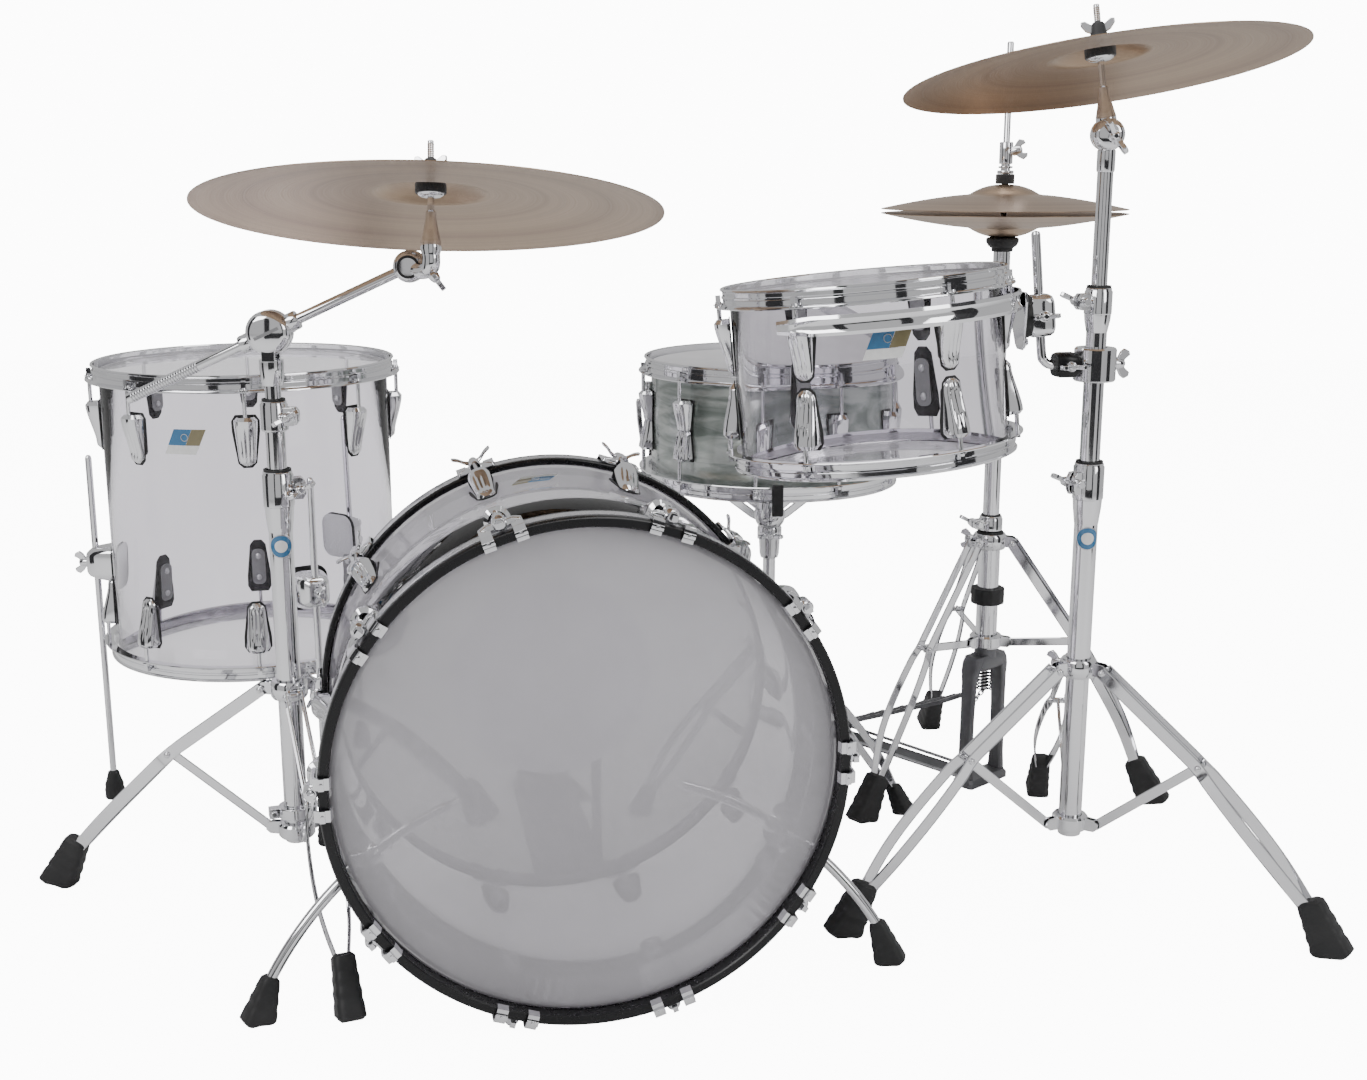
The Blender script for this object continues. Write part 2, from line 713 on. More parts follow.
def rim(name, place, body, radius, wall, edge, up, lugs, first, gap, hoop_node):
    """Hoop, rods, lugs, gaskets and backing plates for one rim of a drum."""
    flip = place @ at(0, 0, edge) @ (OVER if up < 0 else Matrix())
    start = -first if up < 0 else first
    if hoop_node:
        piece(f"{name}_hoop_pressed", spun(hoop_profile(radius, edge, up), SHELL_SIDES), chrome, body, place,
              replaces=[hoop_node])
        ring(f"{name}_rods", tension_rod(gap + 0.006), lugs, radius + FLANGE, start, chrome, body,
             flip @ at(0, 0, -ROD_DROP))
    deep = 0.0205 if hoop_node else 0.0265
    lug_place = flip @ at(0, 0, -ROD_DROP - gap)
    for part, shape, where, material in (
            ("lugs", lug(deep=deep), radius, chrome), ("gaskets", lug_gasket(), radius + 0.0009, rubber),
            ("backing", backing_plate(), radius - wall, inner_plate),
            ("screws", backing_screws(), radius - wall, satin_steel)):
        ring(f"{name}_{part}", shape, lugs, where, start, material, body, lug_place)


print("rim ready")

# %% [markdown]
# Each drum wears a small enamel plaque. This one is plain: two slanted fields of colour over a white strip,
# with a ring in the middle. Each field is a skin over columns that follow the shell's curve, so it lies flat on
# the wall.

# %% A plain badge


def enamel(name, colour):
    return mottled(uneven(finish(name, colour, 0.2, Coat_Weight=0.6), 300, 0.15, 0.28, 0.02, 0.0001),
                   200, [tuple(c * 0.94 for c in colour), tuple(min(c * 1.05, 1) for c in colour)])


enamel_blue = enamel("blue_enamel", (0.035, 0.16, 0.33))
enamel_olive = enamel("olive_enamel", (0.2, 0.17, 0.09))
enamel_white = enamel("white_enamel", (0.78, 0.78, 0.77))


def badge(name, place, body, radius, angle, height, size=0.9, columns=8):
    """A plain enamel plaque, bent to the shell."""
    fields = (("blue", enamel_blue, -0.031, -0.003, -0.0055, 0.019),
              ("olive", enamel_olive, -0.0025, 0.019, -0.0055, 0.019),
              ("white", enamel_white, -0.031, 0.019, -0.019, -0.006))
    for label, coat, left, right, low, high in fields:
        sections = []
        for i in range(columns + 1):
            along = left + (right - left) * i / columns
            column = []
            for lift, z in ((0.0006, low), (0.0015, low), (0.0015, high), (0.0006, high)):
                a = (along + (z * 0.45 + 0.006)) * size / radius
                column.append(((radius + lift) * cos(a), (radius + lift) * sin(a), z * size))
            sections.append(column)
        piece(f"{name}_badge_{label}", skin(sections), coat, body, place @ turn(angle) @ at(0, 0, height))
    circle = spun([(0.0048 * size, 0), (0.0058 * size, 0), (0.0058 * size, 0.0009), (0.0048 * size, 0.0009)],
                  24)
    spot = turn(angle) @ at(radius + 0.0012, 0, height + 0.0065 * size) @ TO_RIGHT
    piece(f"{name}_badge_ring", circle, satin_steel, body, place @ spot)


print("enamels", enamel_blue.name, enamel_olive.name, enamel_white.name)

# %% [markdown]
# ## Floor tom
#
# The 16 inch floor tom stands on three long legs. Each leg runs through a cast bracket low on the shell, which
# grips it with a wing screw, and ends in a rubber tip.

# %% Wing bolts, which the whole kit uses


def wing(span=0.034, thick=0.0055):
    """Wing bolt along +Z from z = 0: boss, then two flat wings."""
    half = span / 2
    outline = [(-half, 0.013), (-half + 0.003, 0.019), (-half + 0.008, 0.0205), (-0.005, 0.0135),
               (0.005, 0.0135), (half - 0.008, 0.0205), (half - 0.003, 0.019), (half, 0.013),
               (half - 0.004, 0.008), (0.006, 0.0035), (-0.006, 0.0035), (-half + 0.004, 0.008)]
    boss = spun([(0, 0), (0.0068, 0), (0.0068, 0.006), (0.0055, 0.0115), (0.0035, 0.014), (0, 0.014)], 20)
    return joined(boss, plate(outline, thick))


def leg_bracket():
    """Cast bracket on a wall at x = 0, gripping a rod at x = 0.031."""
    sections = []
    for x, half, tall in ((0.0015, 0.026, 0.027), (0.01, 0.0255, 0.0265), (0.028, 0.0215, 0.0235),
                          (0.038, 0.017, 0.02), (0.0425, 0.0125, 0.0155)):
        sections.append([(x, y, z) for y, z in rounded(half * 2, tall * 2, min(half, tall) * 0.55)])
    return skin(sections)


# %% What both clear toms share


def clear_tom(name, place, body, radius, low, high, lugs, first, gaps):
    """Shell, films and the hardware of both rims; gaps are from the flanges to the lugs."""
    piece(f"{name}_wall", spun(shell_profile(radius, ACRYLIC, low, high), SHELL_SIDES), acrylic, body, place,
          replaces=[f"{name}_shell"])
    for side, edge, up, gap in (("top", high, 1, gaps[0]), ("bottom", low, -1, gaps[1])):
        piece(f"{name}_{side}_film", spun(film_profile(radius, edge, up), SHELL_SIDES), clear_film, body, place,
              replaces=[f"{name}_{side}_head"])
        rim(f"{name}_{side}", place, body, radius, ACRYLIC, edge, up, lugs, first, gap, f"{name}_{side}_hoop")


print("tom parts ready")

# %% Floor tom pieces
FLOOR_RADIUS, BRACKET_HEIGHT, LEG_OUT = 0.2032, 0.372, 0.2342
clear_tom("floor_tom", FLOOR_TOM, "frame", FLOOR_RADIUS, 0.2571, 0.6635, 8, radians(-98.6 + 22.5),
          (0.036, 0.022))
badge("floor_tom", FLOOR_TOM, "frame", FLOOR_RADIUS, radians(-99.5), 0.583)
for label, degrees_round in zip("abc", (184, 304, 64)):
    stand = FLOOR_TOM @ turn(radians(degrees_round))
    bracket = stand @ at(FLOOR_RADIUS, 0, BRACKET_HEIGHT)
    piece(f"leg_bracket_{label}", leg_bracket(), chrome, "frame", bracket, soften=0.0015)
    piece(f"leg_bracket_gasket_{label}", wall_pad(0.06, 0.062, 0.018, 0.0016), rubber, "frame",
          bracket @ at(0.0009, 0, 0))
    piece(f"leg_bracket_lining_{label}", wall_pad(0.058, 0.06, 0.016, 0.0014), satin_steel, "frame",
          bracket @ at(-0.0069, 0, 0))
    piece(f"leg_wing_{label}", wing(), chrome, "frame", bracket @ at(0.0418, 0, 0) @ TO_RIGHT, soften=0.0008)
    upright = rod([(LEG_OUT, 0, 0.016), (LEG_OUT, 0, 0.528)], 0.0048, 16)
    tip = spun([(0, 0.527), (0.0048, 0.527), (0.004, 0.531), (0.0022, 0.533), (0, 0.5332)], 16)
    piece(f"leg_rod_{label}", joined(upright, moved(tip, at(LEG_OUT, 0, 0))), chrome, f"tom_leg_{label}", stand,
          replaces=[f"floor_tom_leg_{label}"])
    foot = spun([(0, 0), (0.0135, 0), (0.0148, 0.003), (0.0142, 0.01), (0.015, 0.013), (0.0135, 0.018),
                 (0.014, 0.022), (0.0112, 0.03), (0.008, 0.042), (0.0052, 0.044), (0, 0.044)], 32)
    piece(f"leg_boot_{label}", foot, rubber, f"tom_leg_{label}", stand @ at(LEG_OUT, 0, 0))
print("floor tom done")

# %% [markdown]
# ## Mounted tom and its hanger
#
# The 13 inch tom isn't drilled for its mount. A steel band runs round it under the top hoop and hangs from the
# tension rods, and a three-cornered plate with rubber isolators carries the bracket. The bracket slides on an
# L-shaped rod that a clamp holds to the straight stand.

# %% Mounted tom pieces
RACK_RADIUS = 0.1651
clear_tom("rack_tom", RACK_TOM, "rack_tom", RACK_RADIUS, -0.2137, -0.0105, 6, radians(-62), (0.018, 0.018))
badge("rack_tom", RACK_TOM, "rack_tom", RACK_RADIUS, radians(-87.5), -0.07)

BAND_START, BAND_END, BAND_LOW, BAND_HIGH, BAND_STEPS = radians(232), radians(448), -0.0545, -0.0315, 48
band = []
for i in range(BAND_STEPS + 1):
    a = BAND_START + (BAND_END - BAND_START) * i / BAND_STEPS
    inset = 0.004 * max(0.0, 1 - min(i, BAND_STEPS - i) / 3)
    section = ((0.0215, BAND_LOW + inset), (0.0245, BAND_LOW + inset), (0.0258, BAND_LOW + 0.004 + inset),
               (0.024, BAND_LOW + 0.008), (0.024, BAND_HIGH - 0.008), (0.0258, BAND_HIGH - 0.004 - inset),
               (0.0245, BAND_HIGH - inset), (0.0215, BAND_HIGH - inset))
    band.append([((RACK_RADIUS + out) * cos(a), (RACK_RADIUS + out) * sin(a), z) for out, z in section])
piece("hanger_band", skin(band), chrome, "rack_tom", RACK_TOM, replaces=["rack_tom_hanger"])
mount = RACK_TOM @ turn(radians(3))
web = [(0.1885, y, z) for y, z in ((-0.044, -0.036), (0.044, -0.036), (0.047, -0.048), (0.02, -0.104),
                                   (0.012, -0.109), (-0.012, -0.109), (-0.02, -0.104), (-0.047, -0.048))]
piece("hanger_web", skin([[(x + lift, y, z) for x, y, z in web] for lift in (0, 0.003)]), chrome, "rack_tom",
      mount, soften=0.0008)
isolator = spun([(0, 0), (0.025, 0), (0.0262, 0.002), (0.0262, 0.009), (0.0245, 0.0115), (0, 0.0115)], 40)
piece("hanger_isolator", isolator, rubber, "rack_tom", mount @ at(0.1912, 0, -0.069) @ TO_RIGHT)
for k, (y, z) in enumerate(((-0.03, -0.047), (0.03, -0.047), (0.0, -0.1))):
    grommet = spun([(0, 0), (0.0085, 0), (0.0085, 0.004), (0.0055, 0.0055), (0.004, 0.0085), (0, 0.009)], 20)
    piece(f"hanger_grommet_{k}", grommet, rubber if k < 2 else chrome, "rack_tom",
          mount @ at(0.1915, y, z) @ TO_RIGHT)
steps = ((0.202, 0.92), (0.205, 1.0), (0.226, 1.0), (0.231, 0.9), (0.2325, 0.8))
holder = block([(x, 0.036 * w, 0.052 * w) for x, w in steps], 0.01)
piece("hanger_bracket", holder, chrome, "rack_tom", mount @ at(0, 0, -0.069), soften=0.0008)
piece("hanger_wing", wing(0.036), chrome, "rack_tom", mount @ at(0.2172, -0.0175, -0.069) @ TO_FRONT,
      soften=0.0008)
print("mounted tom done")

# %% The L-rod and the clamp
arm_top, arm_elbow, arm_low = (mount @ Vector((0.2165, 0, z)) for z in (0.03, -0.112, -0.131))
stand_axis = Vector((*CRASH.translation.xy, arm_low.z))
to_stand = (stand_axis - arm_low).normalized()
route = [arm_top, arm_top.lerp(arm_elbow, 0.5), arm_elbow, arm_low.lerp(arm_elbow, 0.32) + to_stand * 0.0025,
         arm_low + to_stand * 0.013, arm_low + to_stand * 0.04]
piece("l_rod", rod(route[:1] + curved(route[1:], 6), 0.0058, 20), chrome, "arm", replaces=["tom_arm"])
tip = spun([(0, 0), (0.0058, 0), (0.0048, 0.003), (0, 0.0045)], 20)
piece("l_rod_tip", tip, chrome, "arm", at(*arm_top) @ facing(arm_top - arm_elbow))
reach = (stand_axis - arm_low).length
CLAMP = at(*stand_axis) @ turn(atan2(-to_stand.y, -to_stand.x))
jaw = spun([(0.0142, -0.021), (0.0245, -0.021), (0.0262, -0.019), (0.0262, 0.019), (0.0245, 0.021),
            (0.0142, 0.021)], 48)
piece("clamp_jaw", jaw, chrome, "clamp", CLAMP, replaces=["tom_clamp"])
piece("clamp_liner", spun([(0.0136, -0.017), (0.0141, -0.017), (0.0141, 0.017), (0.0136, 0.017)], 40), rubber,
      "clamp", CLAMP)
steps = ((0.02, 0.8), (0.03, 1.0), (reach - 0.022, 1.0), (reach - 0.016, 0.9))
barrel = block([(x, 0.031 * w, 0.031 * w) for x, w in steps], 0.009)
piece("clamp_barrel", barrel, lacquer, "clamp", CLAMP, soften=0.0008)
collar_ring = spun([(0.0064, 0), (0.0135, 0), (0.015, 0.002), (0.015, 0.011), (0.0135, 0.013), (0.0064, 0.013)],
                   32)
piece("clamp_insert", collar_ring, rubber, "clamp", CLAMP @ at(reach - 0.03, 0, 0) @ TO_RIGHT)
piece("clamp_wing_side", wing(0.038), chrome, "clamp", CLAMP @ at(-0.0255, 0, 0) @ TO_LEFT, soften=0.0008)
piece("clamp_wing_front", wing(0.036), chrome, "clamp", CLAMP @ at(0.04, 0.0155, 0) @ TO_REAR,
      soften=0.0008)
print("tom mount done")

# %% [markdown]
# ## Bass drum
#
# The 22 inch bass drum lies on its side between two wooden hoops. Ten claws pull each hoop in: two chrome
# fingers hook over its face, and a boss behind them takes the rod to its lug. The hoops are black, with a
# silver strip let into the outside. Round rods with bow handles tighten the player's side, and key rods the
# front.

# %% Claws and hoops
BASS_WALL, BASS_EDGE, BASS_FACE, BASS_HOOP = 0.2794, 0.1778, 0.1975, 0.2935


def claw():
    """Claw on a hoop whose outer corner is the origin: +X outwards, +Z out of the drum."""
    parts = []
    for y in (-0.018, 0.018):
        hook = [(0.003, -0.033), (0.0036, -0.006), (0.003, 0.0022), (-0.002, 0.0042), (-0.0122, 0.0036),
                (-0.0136, -0.0045)]
        parts.append(plate(strip(hook, 0.0028), 0.013, y))
        parts.append(moved(plate(rounded(0.0062, 0.0046, 0.001), 0.0135, y), at(-0.0045, 0, 0.0054)))
        parts.append(moved(spun([(0, 0), (0.0024, 0), (0.0022, 0.0016), (0, 0.002)], 12),
                           at(-0.0045, y, 0.0076)))
    parts.append(block(((0.0015, 0.05, 0.013), (0.005, 0.048, 0.013), (0.0078, 0.034, 0.01)), 0.004,
                       centre=(0, -0.028)))
    boss = spun([(0, -0.041), (0.0066, -0.041), (0.008, -0.0385), (0.008, -0.018), (0.0062, -0.015),
                 (0, -0.015)], 20)
    stem = spun([(0, -0.078), (0.003, -0.078), (0.003, -0.012), (0, -0.012)], 12)
    head = square_key(-0.014, -0.004)
    cup = spun([(0, -0.015), (0.0052, -0.015), (0.0048, -0.011), (0, -0.011)], 16)
    return joined(*parts, *[moved(s, at(0.0075, 0, 0)) for s in (boss, stem, head, cup)])


def bow():
    """Bow handle on a claw rod, its wings bent outwards."""
    path = curved([(0.0195, -0.0255, -0.003), (0.016, -0.018, -0.003), (0.0082, -0.007, -0.003),
                   (0.0082, 0.007, -0.003), (0.016, 0.018, -0.003), (0.0195, 0.0255, -0.003)], 5)
    rings = []
    for k, p in enumerate(path):
        s = abs(2 * k / (len(path) - 1) - 1)
        wide, thick = 0.0045 + 0.0045 * s * s, 0.003 - 0.0006 * s
        if k in (0, len(path) - 1):
            wide, thick = wide * 0.6, thick * 0.6
        spots = [2 * pi * i / 10 for i in range(10)]
        rings.append([(p.x + thick * sin(a), p.y, p.z + wide * cos(a)) for a in spots])
    centre = spun([(0, -0.012), (0.006, -0.012), (0.0066, -0.004), (0.0058, 0.003), (0, 0.0045)], 18)
    return joined(skin(rings), moved(centre, at(0.0075, 0, 0)))


print("claw and bow ready")

# %% Bass drum pieces
piece("bass_wall", spun(shell_profile(BASS_WALL, ACRYLIC, -BASS_EDGE, BASS_EDGE), BASS_SIDES), acrylic, "frame",
      BASS, replaces=["bass_shell"])
middle = BASS_FACE - 0.019
wood = [(0.2862, -0.018), (0.2872, -0.019), (0.2915, -0.019), (0.2933, -0.0165), (0.2935, -0.012),
        (0.2935, 0.012), (0.2933, 0.0165), (0.2915, 0.019), (0.2832, 0.019), (0.2818, 0.0175), (0.2816, 0.003),
        (0.2862, 0.0026)]
let_in = [(0.293, -0.0105), (0.2938, -0.01), (0.2939, 0), (0.2938, 0.0065), (0.293, 0.007)]
for side, up in (("front", 1), ("rear", -1)):
    face_frame = BASS @ (OVER if up < 0 else Matrix())
    piece(f"bass_{side}_wood", spun([(r, middle + z) for r, z in wood], BASS_SIDES), lacquer, "frame",
          face_frame, replaces=[f"bass_{side}_hoop"])
    piece(f"bass_{side}_inlay", spun([(r, middle + z) for r, z in let_in], BASS_SIDES), inlay, "frame",
          face_frame)
    claw_place = face_frame @ at(0, 0, BASS_FACE)
    ring(f"bass_{side}_claws", claw(), 10, BASS_HOOP, 0, chrome, "frame", claw_place)
    if side == "rear":
        ring(f"bass_{side}_bows", bow(), 6, BASS_HOOP, 0, chrome, "frame", claw_place, step=radians(-36))
    rim(f"bass_{side}", BASS, "frame", BASS_WALL, ACRYLIC, up * BASS_EDGE, up, 10, 0, 0.0428, None)
for side, up, film in (("front", 1, hazy_film), ("rear", -1, player_film)):
    piece(f"bass_{side}_film", spun(film_profile(BASS_WALL, up * BASS_EDGE, up), BASS_SIDES), film, "frame",
          BASS, replaces=[f"bass_{side}_head"])
patch = [(0, -0.1774), (0.131, -0.1774), (0.1315, -0.1778), (0.131, -0.1782), (0, -0.1782)]
piece("bass_rear_patch", spun(patch), patch_film, "frame", BASS)
badge("bass_drum", BASS, "frame", BASS_WALL, radians(95), -0.105)
print("bass drum done")

# %% [markdown]
# ### Rubber feet and spurs
#
# It is a skin over sections that grow from the leg's end towards the floor, and points that would fall below
# the floor are pressed flat onto it. Two curved spurs keep the drum from rolling or creeping forwards.

# %% Boots and spurs


def boot(top, bottom, start, end, floor=0.0, ribs=4):
    """Rubber foot along (x, z); start and end are its first and last section's half sizes."""
    top, bottom = Vector(top), Vector(bottom)
    along = (bottom - top).normalized()
    across = Vector((-along.y, along.x))
    steps = 4 * ribs + 4
    sections = []
    for i in range(steps + 1):
        t = i / steps
        swell = t ** 0.8
        groove = 0.955 if 2 < i < steps - 4 and i % 4 in (1, 2) else 1.0
        cap = 0.72 if i in (0, steps) else 1.0
        a = (start[0] + (end[0] - start[0]) * swell) * groove * cap
        b = (start[1] + (end[1] - start[1]) * swell) * groove * cap
        centre = top + (bottom - top) * t
        section = []
        for u, v in rounded(2 * a, 2 * b, min(a, b) * 0.55, 4):
            spot = centre + across * u
            section.append((spot.x, v, max(spot.y, floor + 0.0002 * t)))
        sections.append(section)
    return skin(sections)


def spur_frame(side):
    """A spur's own frame, at the middle of its arc: +X outwards and +Z up."""
    outwards = Vector((side * cos(radians(22)), 0, sin(radians(22))))
    upwards = Vector((0, 1, 0))
    axes = Matrix((outwards, upwards.cross(outwards), upwards)).transposed().to_4x4()
    return BASS @ at(side * 0.079, -0.4342, -0.005) @ axes


for label, side in (("left", -1), ("right", 1)):
    spur, bend = spur_frame(side), 0.355  # the arc's radius
    angles = [radians(26 + 54 * i / 30) for i in range(31)]
    piece(f"spur_rod_{label}", rod([(bend * cos(a), 0, bend * sin(a)) for a in angles], 0.0065, 20), chrome,
          f"spur_{label}", spur, replaces=[f"bass_spur_{label}"])
    low_end = bend * cos(radians(27))
    sole = boot((low_end - 0.016, 0.192), (low_end + 0.004, 0.137), (0.0085, 0.0085), (0.02, 0.0165), 0.14, 3)
    piece(f"spur_boot_{label}", sole, rubber, f"spur_{label}", spur)
    a = radians(58.6)
    spot = Vector((bend * cos(a), 0, bend * sin(a)))
    along = Vector((-sin(a), 0, cos(a)))
    sleeve = spun([(0.0072, -0.022), (0.0125, -0.022), (0.014, -0.02), (0.014, 0.016), (0.0115, 0.022),
                   (0.0072, 0.022)], 32)
    holder = spur @ at(*spot) @ facing(along)
    piece(f"spur_sleeve_{label}", sleeve, chrome, "frame", holder)
    drum_axis = BASS.inverted() @ (spur @ spot)
    round_angle = atan2(drum_axis.y, drum_axis.x)
    seat = BASS @ turn(round_angle) @ at(BASS_WALL, 0, drum_axis.z)
    foot_plate = block(((0.0016, 0.046, 0.06), (0.0045, 0.046, 0.06), (0.0075, 0.038, 0.05)), 0.014)
    piece(f"spur_plate_{label}", foot_plate, chrome, "frame", seat, soften=0.0006)
    piece(f"spur_pad_{label}", wall_pad(0.052, 0.066, 0.016, 0.0016), rubber, "frame", seat @ at(0.0009, 0, 0))
    piece(f"spur_lining_{label}", wall_pad(0.046, 0.058, 0.014, 0.0014), inner_plate, "frame",
          seat @ at(-0.0069, 0, 0))
    piece(f"spur_wing_{label}", wing(0.036), chrome, "frame", holder @ at(0, -0.0138, -0.004) @ TO_FRONT,
          soften=0.0008)
print("spurs done")

# %% [markdown]
# ### Bass drum pedal
#
# The pedal clamps to the rear hoop. Its footboard is hinged at the heel; a chain runs from the toe up over a
# cam, so pressing the board swings a felt beater into the head. The chain is one link repeated in a row, each
# turned by a quarter from the last.

# %% A board and a chain


def ribbed_board(length, toe, heel, thick=0.006, ribs=9):
    """Footboard toward -Y: rounded toe, narrower heel, raised ribs across it."""
    outline = []
    for k in range(13):
        a = pi * k / 12
        outline.append((-toe * cos(a), -length + toe * 0.5 - toe * 0.5 * sin(a)))
    outline += [(toe * 0.98, -length * 0.45), (heel, -0.004), (-heel, -0.004), (-toe * 0.98, -length * 0.45)]
    base = moved(plate(outline, thick), TO_REAR)
    bars = []
    for k in range(ribs):
        y = -length + 0.03 + k * (length - 0.085) / (ribs - 1)
        bar = plate(rounded(toe * 1.6, 0.0055, 0.0024), 0.003)
        bars.append(moved(bar, at(0, y, thick / 2) @ TO_FRONT))
    return joined(base, *bars)


def chain_link(length=0.0105, wide=0.0062, wire=0.0011):
    """One oval link in the x-z plane."""
    half, bow_radius = length / 2 - wide / 2, wide / 2
    loop = [(bow_radius * cos(a), 0, half + bow_radius * sin(a)) for a in (pi * k / 6 for k in range(7))]
    loop += [(-x, 0, -z) for x, _, z in loop]
    sections, sideways = [], Vector((0, 1, 0))
    for k, p in enumerate(loop):
        before, after = Vector(loop[k - 1]), Vector(loop[(k + 1) % len(loop)])
        across = (after - before).normalized().cross(sideways)
        sections.append([Vector(p) + wire * (cos(a) * across + sin(a) * sideways)
                         for a in (2 * pi * i / 6 for i in range(6))])
    return skin(sections, closed=True)


def chain(name, start, end, body, pitch=0.008):
    """A hanging chain from start to end, made with the row tree."""
    start, end = Vector(start), Vector(end)
    count = max(int((end - start).length / pitch), 2)
    source = pattern(chain_link())
    mesh = grown(ROW, {"Piece": source, "Count": count, "Step": (0.0, 0.0, (end - start).length / count),
                       "Quarter turns": 1.0, "Finish": satin_steel}, [source])
    piece(name, mesh, satin_steel, body, at(*start) @ facing(end - start))


print("board and chain ready")

# %% The pedal's frame
plate_low = skin([[(x, y, z) for x, y in ((-0.049, 0.006), (0.049, 0.006), (0.046, 0.382), (-0.046, 0.382))]
                  for z in (0.0002, 0.0036)])
piece("pedal_plate", plate_low, casting, "frame", PEDAL, soften=0.0008, replaces=["pedal_frame"])
for label, x in (("left", -0.041), ("right", 0.041)):
    post = block(((0.003, 0.012, 0.026), (0.1, 0.011, 0.022), (0.19, 0.012, 0.026), (0.206, 0.011, 0.02),
                  (0.2085, 0.007, 0.014)), 0.003, "z", (x, 0.045), 4)
    piece(f"pedal_post_{label}", post, casting, "frame", PEDAL)
    cap = spun([(0, 0), (0.009, 0), (0.009, 0.003), (0.007, 0.005), (0, 0.0055)], 28)
    outwards = TO_RIGHT if x > 0 else TO_LEFT
    piece(f"pedal_bearing_{label}", cap, chrome, "frame", PEDAL @ at(x * 1.13, 0.045, 0.195) @ outwards)
piece("pedal_bridge", brick((-0.046, 0.007, 0.0035), (0.046, 0.029, 0.0155)), casting, "frame", PEDAL,
      soften=0.002)
piece("pedal_heel", brick((-0.039, 0.344, 0.003), (0.039, 0.381, 0.0195)), casting, "frame", PEDAL,
      soften=0.003)
print("pedal frame done")

# %% The pedal's board and beater
heel_place = PEDAL @ at(0, 0.335, 0.024) @ turn(radians(-12.7), "X")
piece("pedal_board", ribbed_board(0.272, 0.04, 0.034), casting, "bass_footboard", heel_place, soften=0.0006,
      replaces=["pedal_footboard"])
axle_place = PEDAL @ at(0, 0.045, 0.195)
axle = moved(spun([(0, -0.033), (0.0052, -0.033), (0.0058, -0.032), (0.0058, 0.032), (0.0052, 0.033),
                   (0, 0.033)], 24), TO_RIGHT)
cam = moved(spun([(0.0056, -0.009), (0.0215, -0.009), (0.0215, -0.0065), (0.0185, -0.0055), (0.0185, 0.0055),
                  (0.0215, 0.0065), (0.0215, 0.009), (0.0056, 0.009)], 40), TO_RIGHT)
leaning = Vector((0, sin(radians(25)), cos(radians(25))))
piece("pedal_axle", joined(axle, cam, rod([leaning * 0.004, leaning * 0.118], 0.003, 16)), chrome, "beater",
      axle_place, replaces=["pedal_beater"])
head = [(0, -0.0178), (0.015, -0.0176), (0.0195, -0.016), (0.0215, -0.012), (0.0218, 0.012), (0.0195, 0.016),
        (0.015, 0.0176), (0, 0.0178)]
piece("pedal_felt", spun(head, 48), white_felt, "beater",
      axle_place @ at(*(leaning * 0.115)) @ turn(radians(-25), "X") @ TO_FRONT)
chain("pedal_chain", PEDAL @ Vector((0, 0.0255, 0.192)), PEDAL @ Vector((0, 0.052, 0.094)), "beater")
print("pedal done")

# %% [markdown]
# ## Folding tripods
#
# Each stand stands on a double-braced tripod: every leg is two flat bars, side by side at the collar, bowed
# apart below the knee and drawn together again in the foot. A single flat stay ties the knee to a hub lower on
# the tube. The four tripods share one description and differ only in their sizes.

# %% Sizes of the tripods
TRIPOD_SIZES = ("collar", "hub", "root", "knee", "reach", "tube", "bar", "size")
TRIPODS = {name: dict(zip(TRIPOD_SIZES, sizes)) for name, *sizes in (
    ("snare", 0.222, 0.085, 0.03, (0.115, 0.15), 0.228, 0.0127, 0.013, 0.6),
    ("hihat", 0.389, 0.231, 0.034, (0.14, 0.243), 0.262, 0.0165, 0.015, 1.0),
    ("crash", 0.31, 0.096, 0.034, (0.168, 0.208), 0.343, 0.015, 0.017, 1.0),
    ("boom", 0.292, 0.1, 0.034, (0.168, 0.196), 0.338, 0.015, 0.017, 1.0),
)}
print("tripods", list(TRIPODS))

# %% Legs and stays


def flat_bar(path, wide, thick, spread):
    """A flat bar in the x-z plane; spread gives how far it stands from that plane along its way."""
    sections = []
    for i, point in enumerate(path):
        point = Vector(point)
        before, after = Vector(path[max(i - 1, 0)]), Vector(path[min(i + 1, len(path) - 1)])
        along = (after - before).normalized()
        across = Vector((-along.y, along.x)) * wide / 2
        y = spread(i / (len(path) - 1))
        round_off = thick * 0.35
        section = []
        for u, v in ((-1, -1), (-1, 1), (1, 1), (1, -1)):
            for inset in ((1, 0), (0, 1)) if u * v > 0 else ((0, 1), (1, 0)):
                spot = point + across * u * (1 - 2 * round_off * inset[1] / wide)
                section.append((spot.x, y + v * (thick / 2 - round_off * inset[0]), spot.y))
        sections.append(section)
    return skin(sections)


def leg_path(spec):
    """A leg's way from the collar over its knee to the foot, and where along it the knee begins."""
    (kx, kz), fx, k = spec["knee"], spec["reach"], spec["size"]
    bend = 0.02 * k
    start, knee = Vector((spec["root"], spec["collar"])), Vector((kx, kz))
    shin, end = Vector((kx + (fx - kx) * 0.55, kz * 0.53)), Vector((fx - 0.022 * k, 0.046 * k))
    before = knee + (start - knee).normalized() * bend
    after = knee + (shin - knee).normalized() * bend
    upper = [start.lerp(before, i / 6) for i in range(6)]
    shares = [i / 5 for i in range(6)]
    turning = [(1 - t) ** 2 * before + 2 * t * (1 - t) * knee + t * t * after for t in shares]
    lower = [p.to_2d() for p in curved([(*after, 0), (*shin, 0), (*end, 0)], 7)][1:]
    return [tuple(p) for p in upper + turning + lower], 6


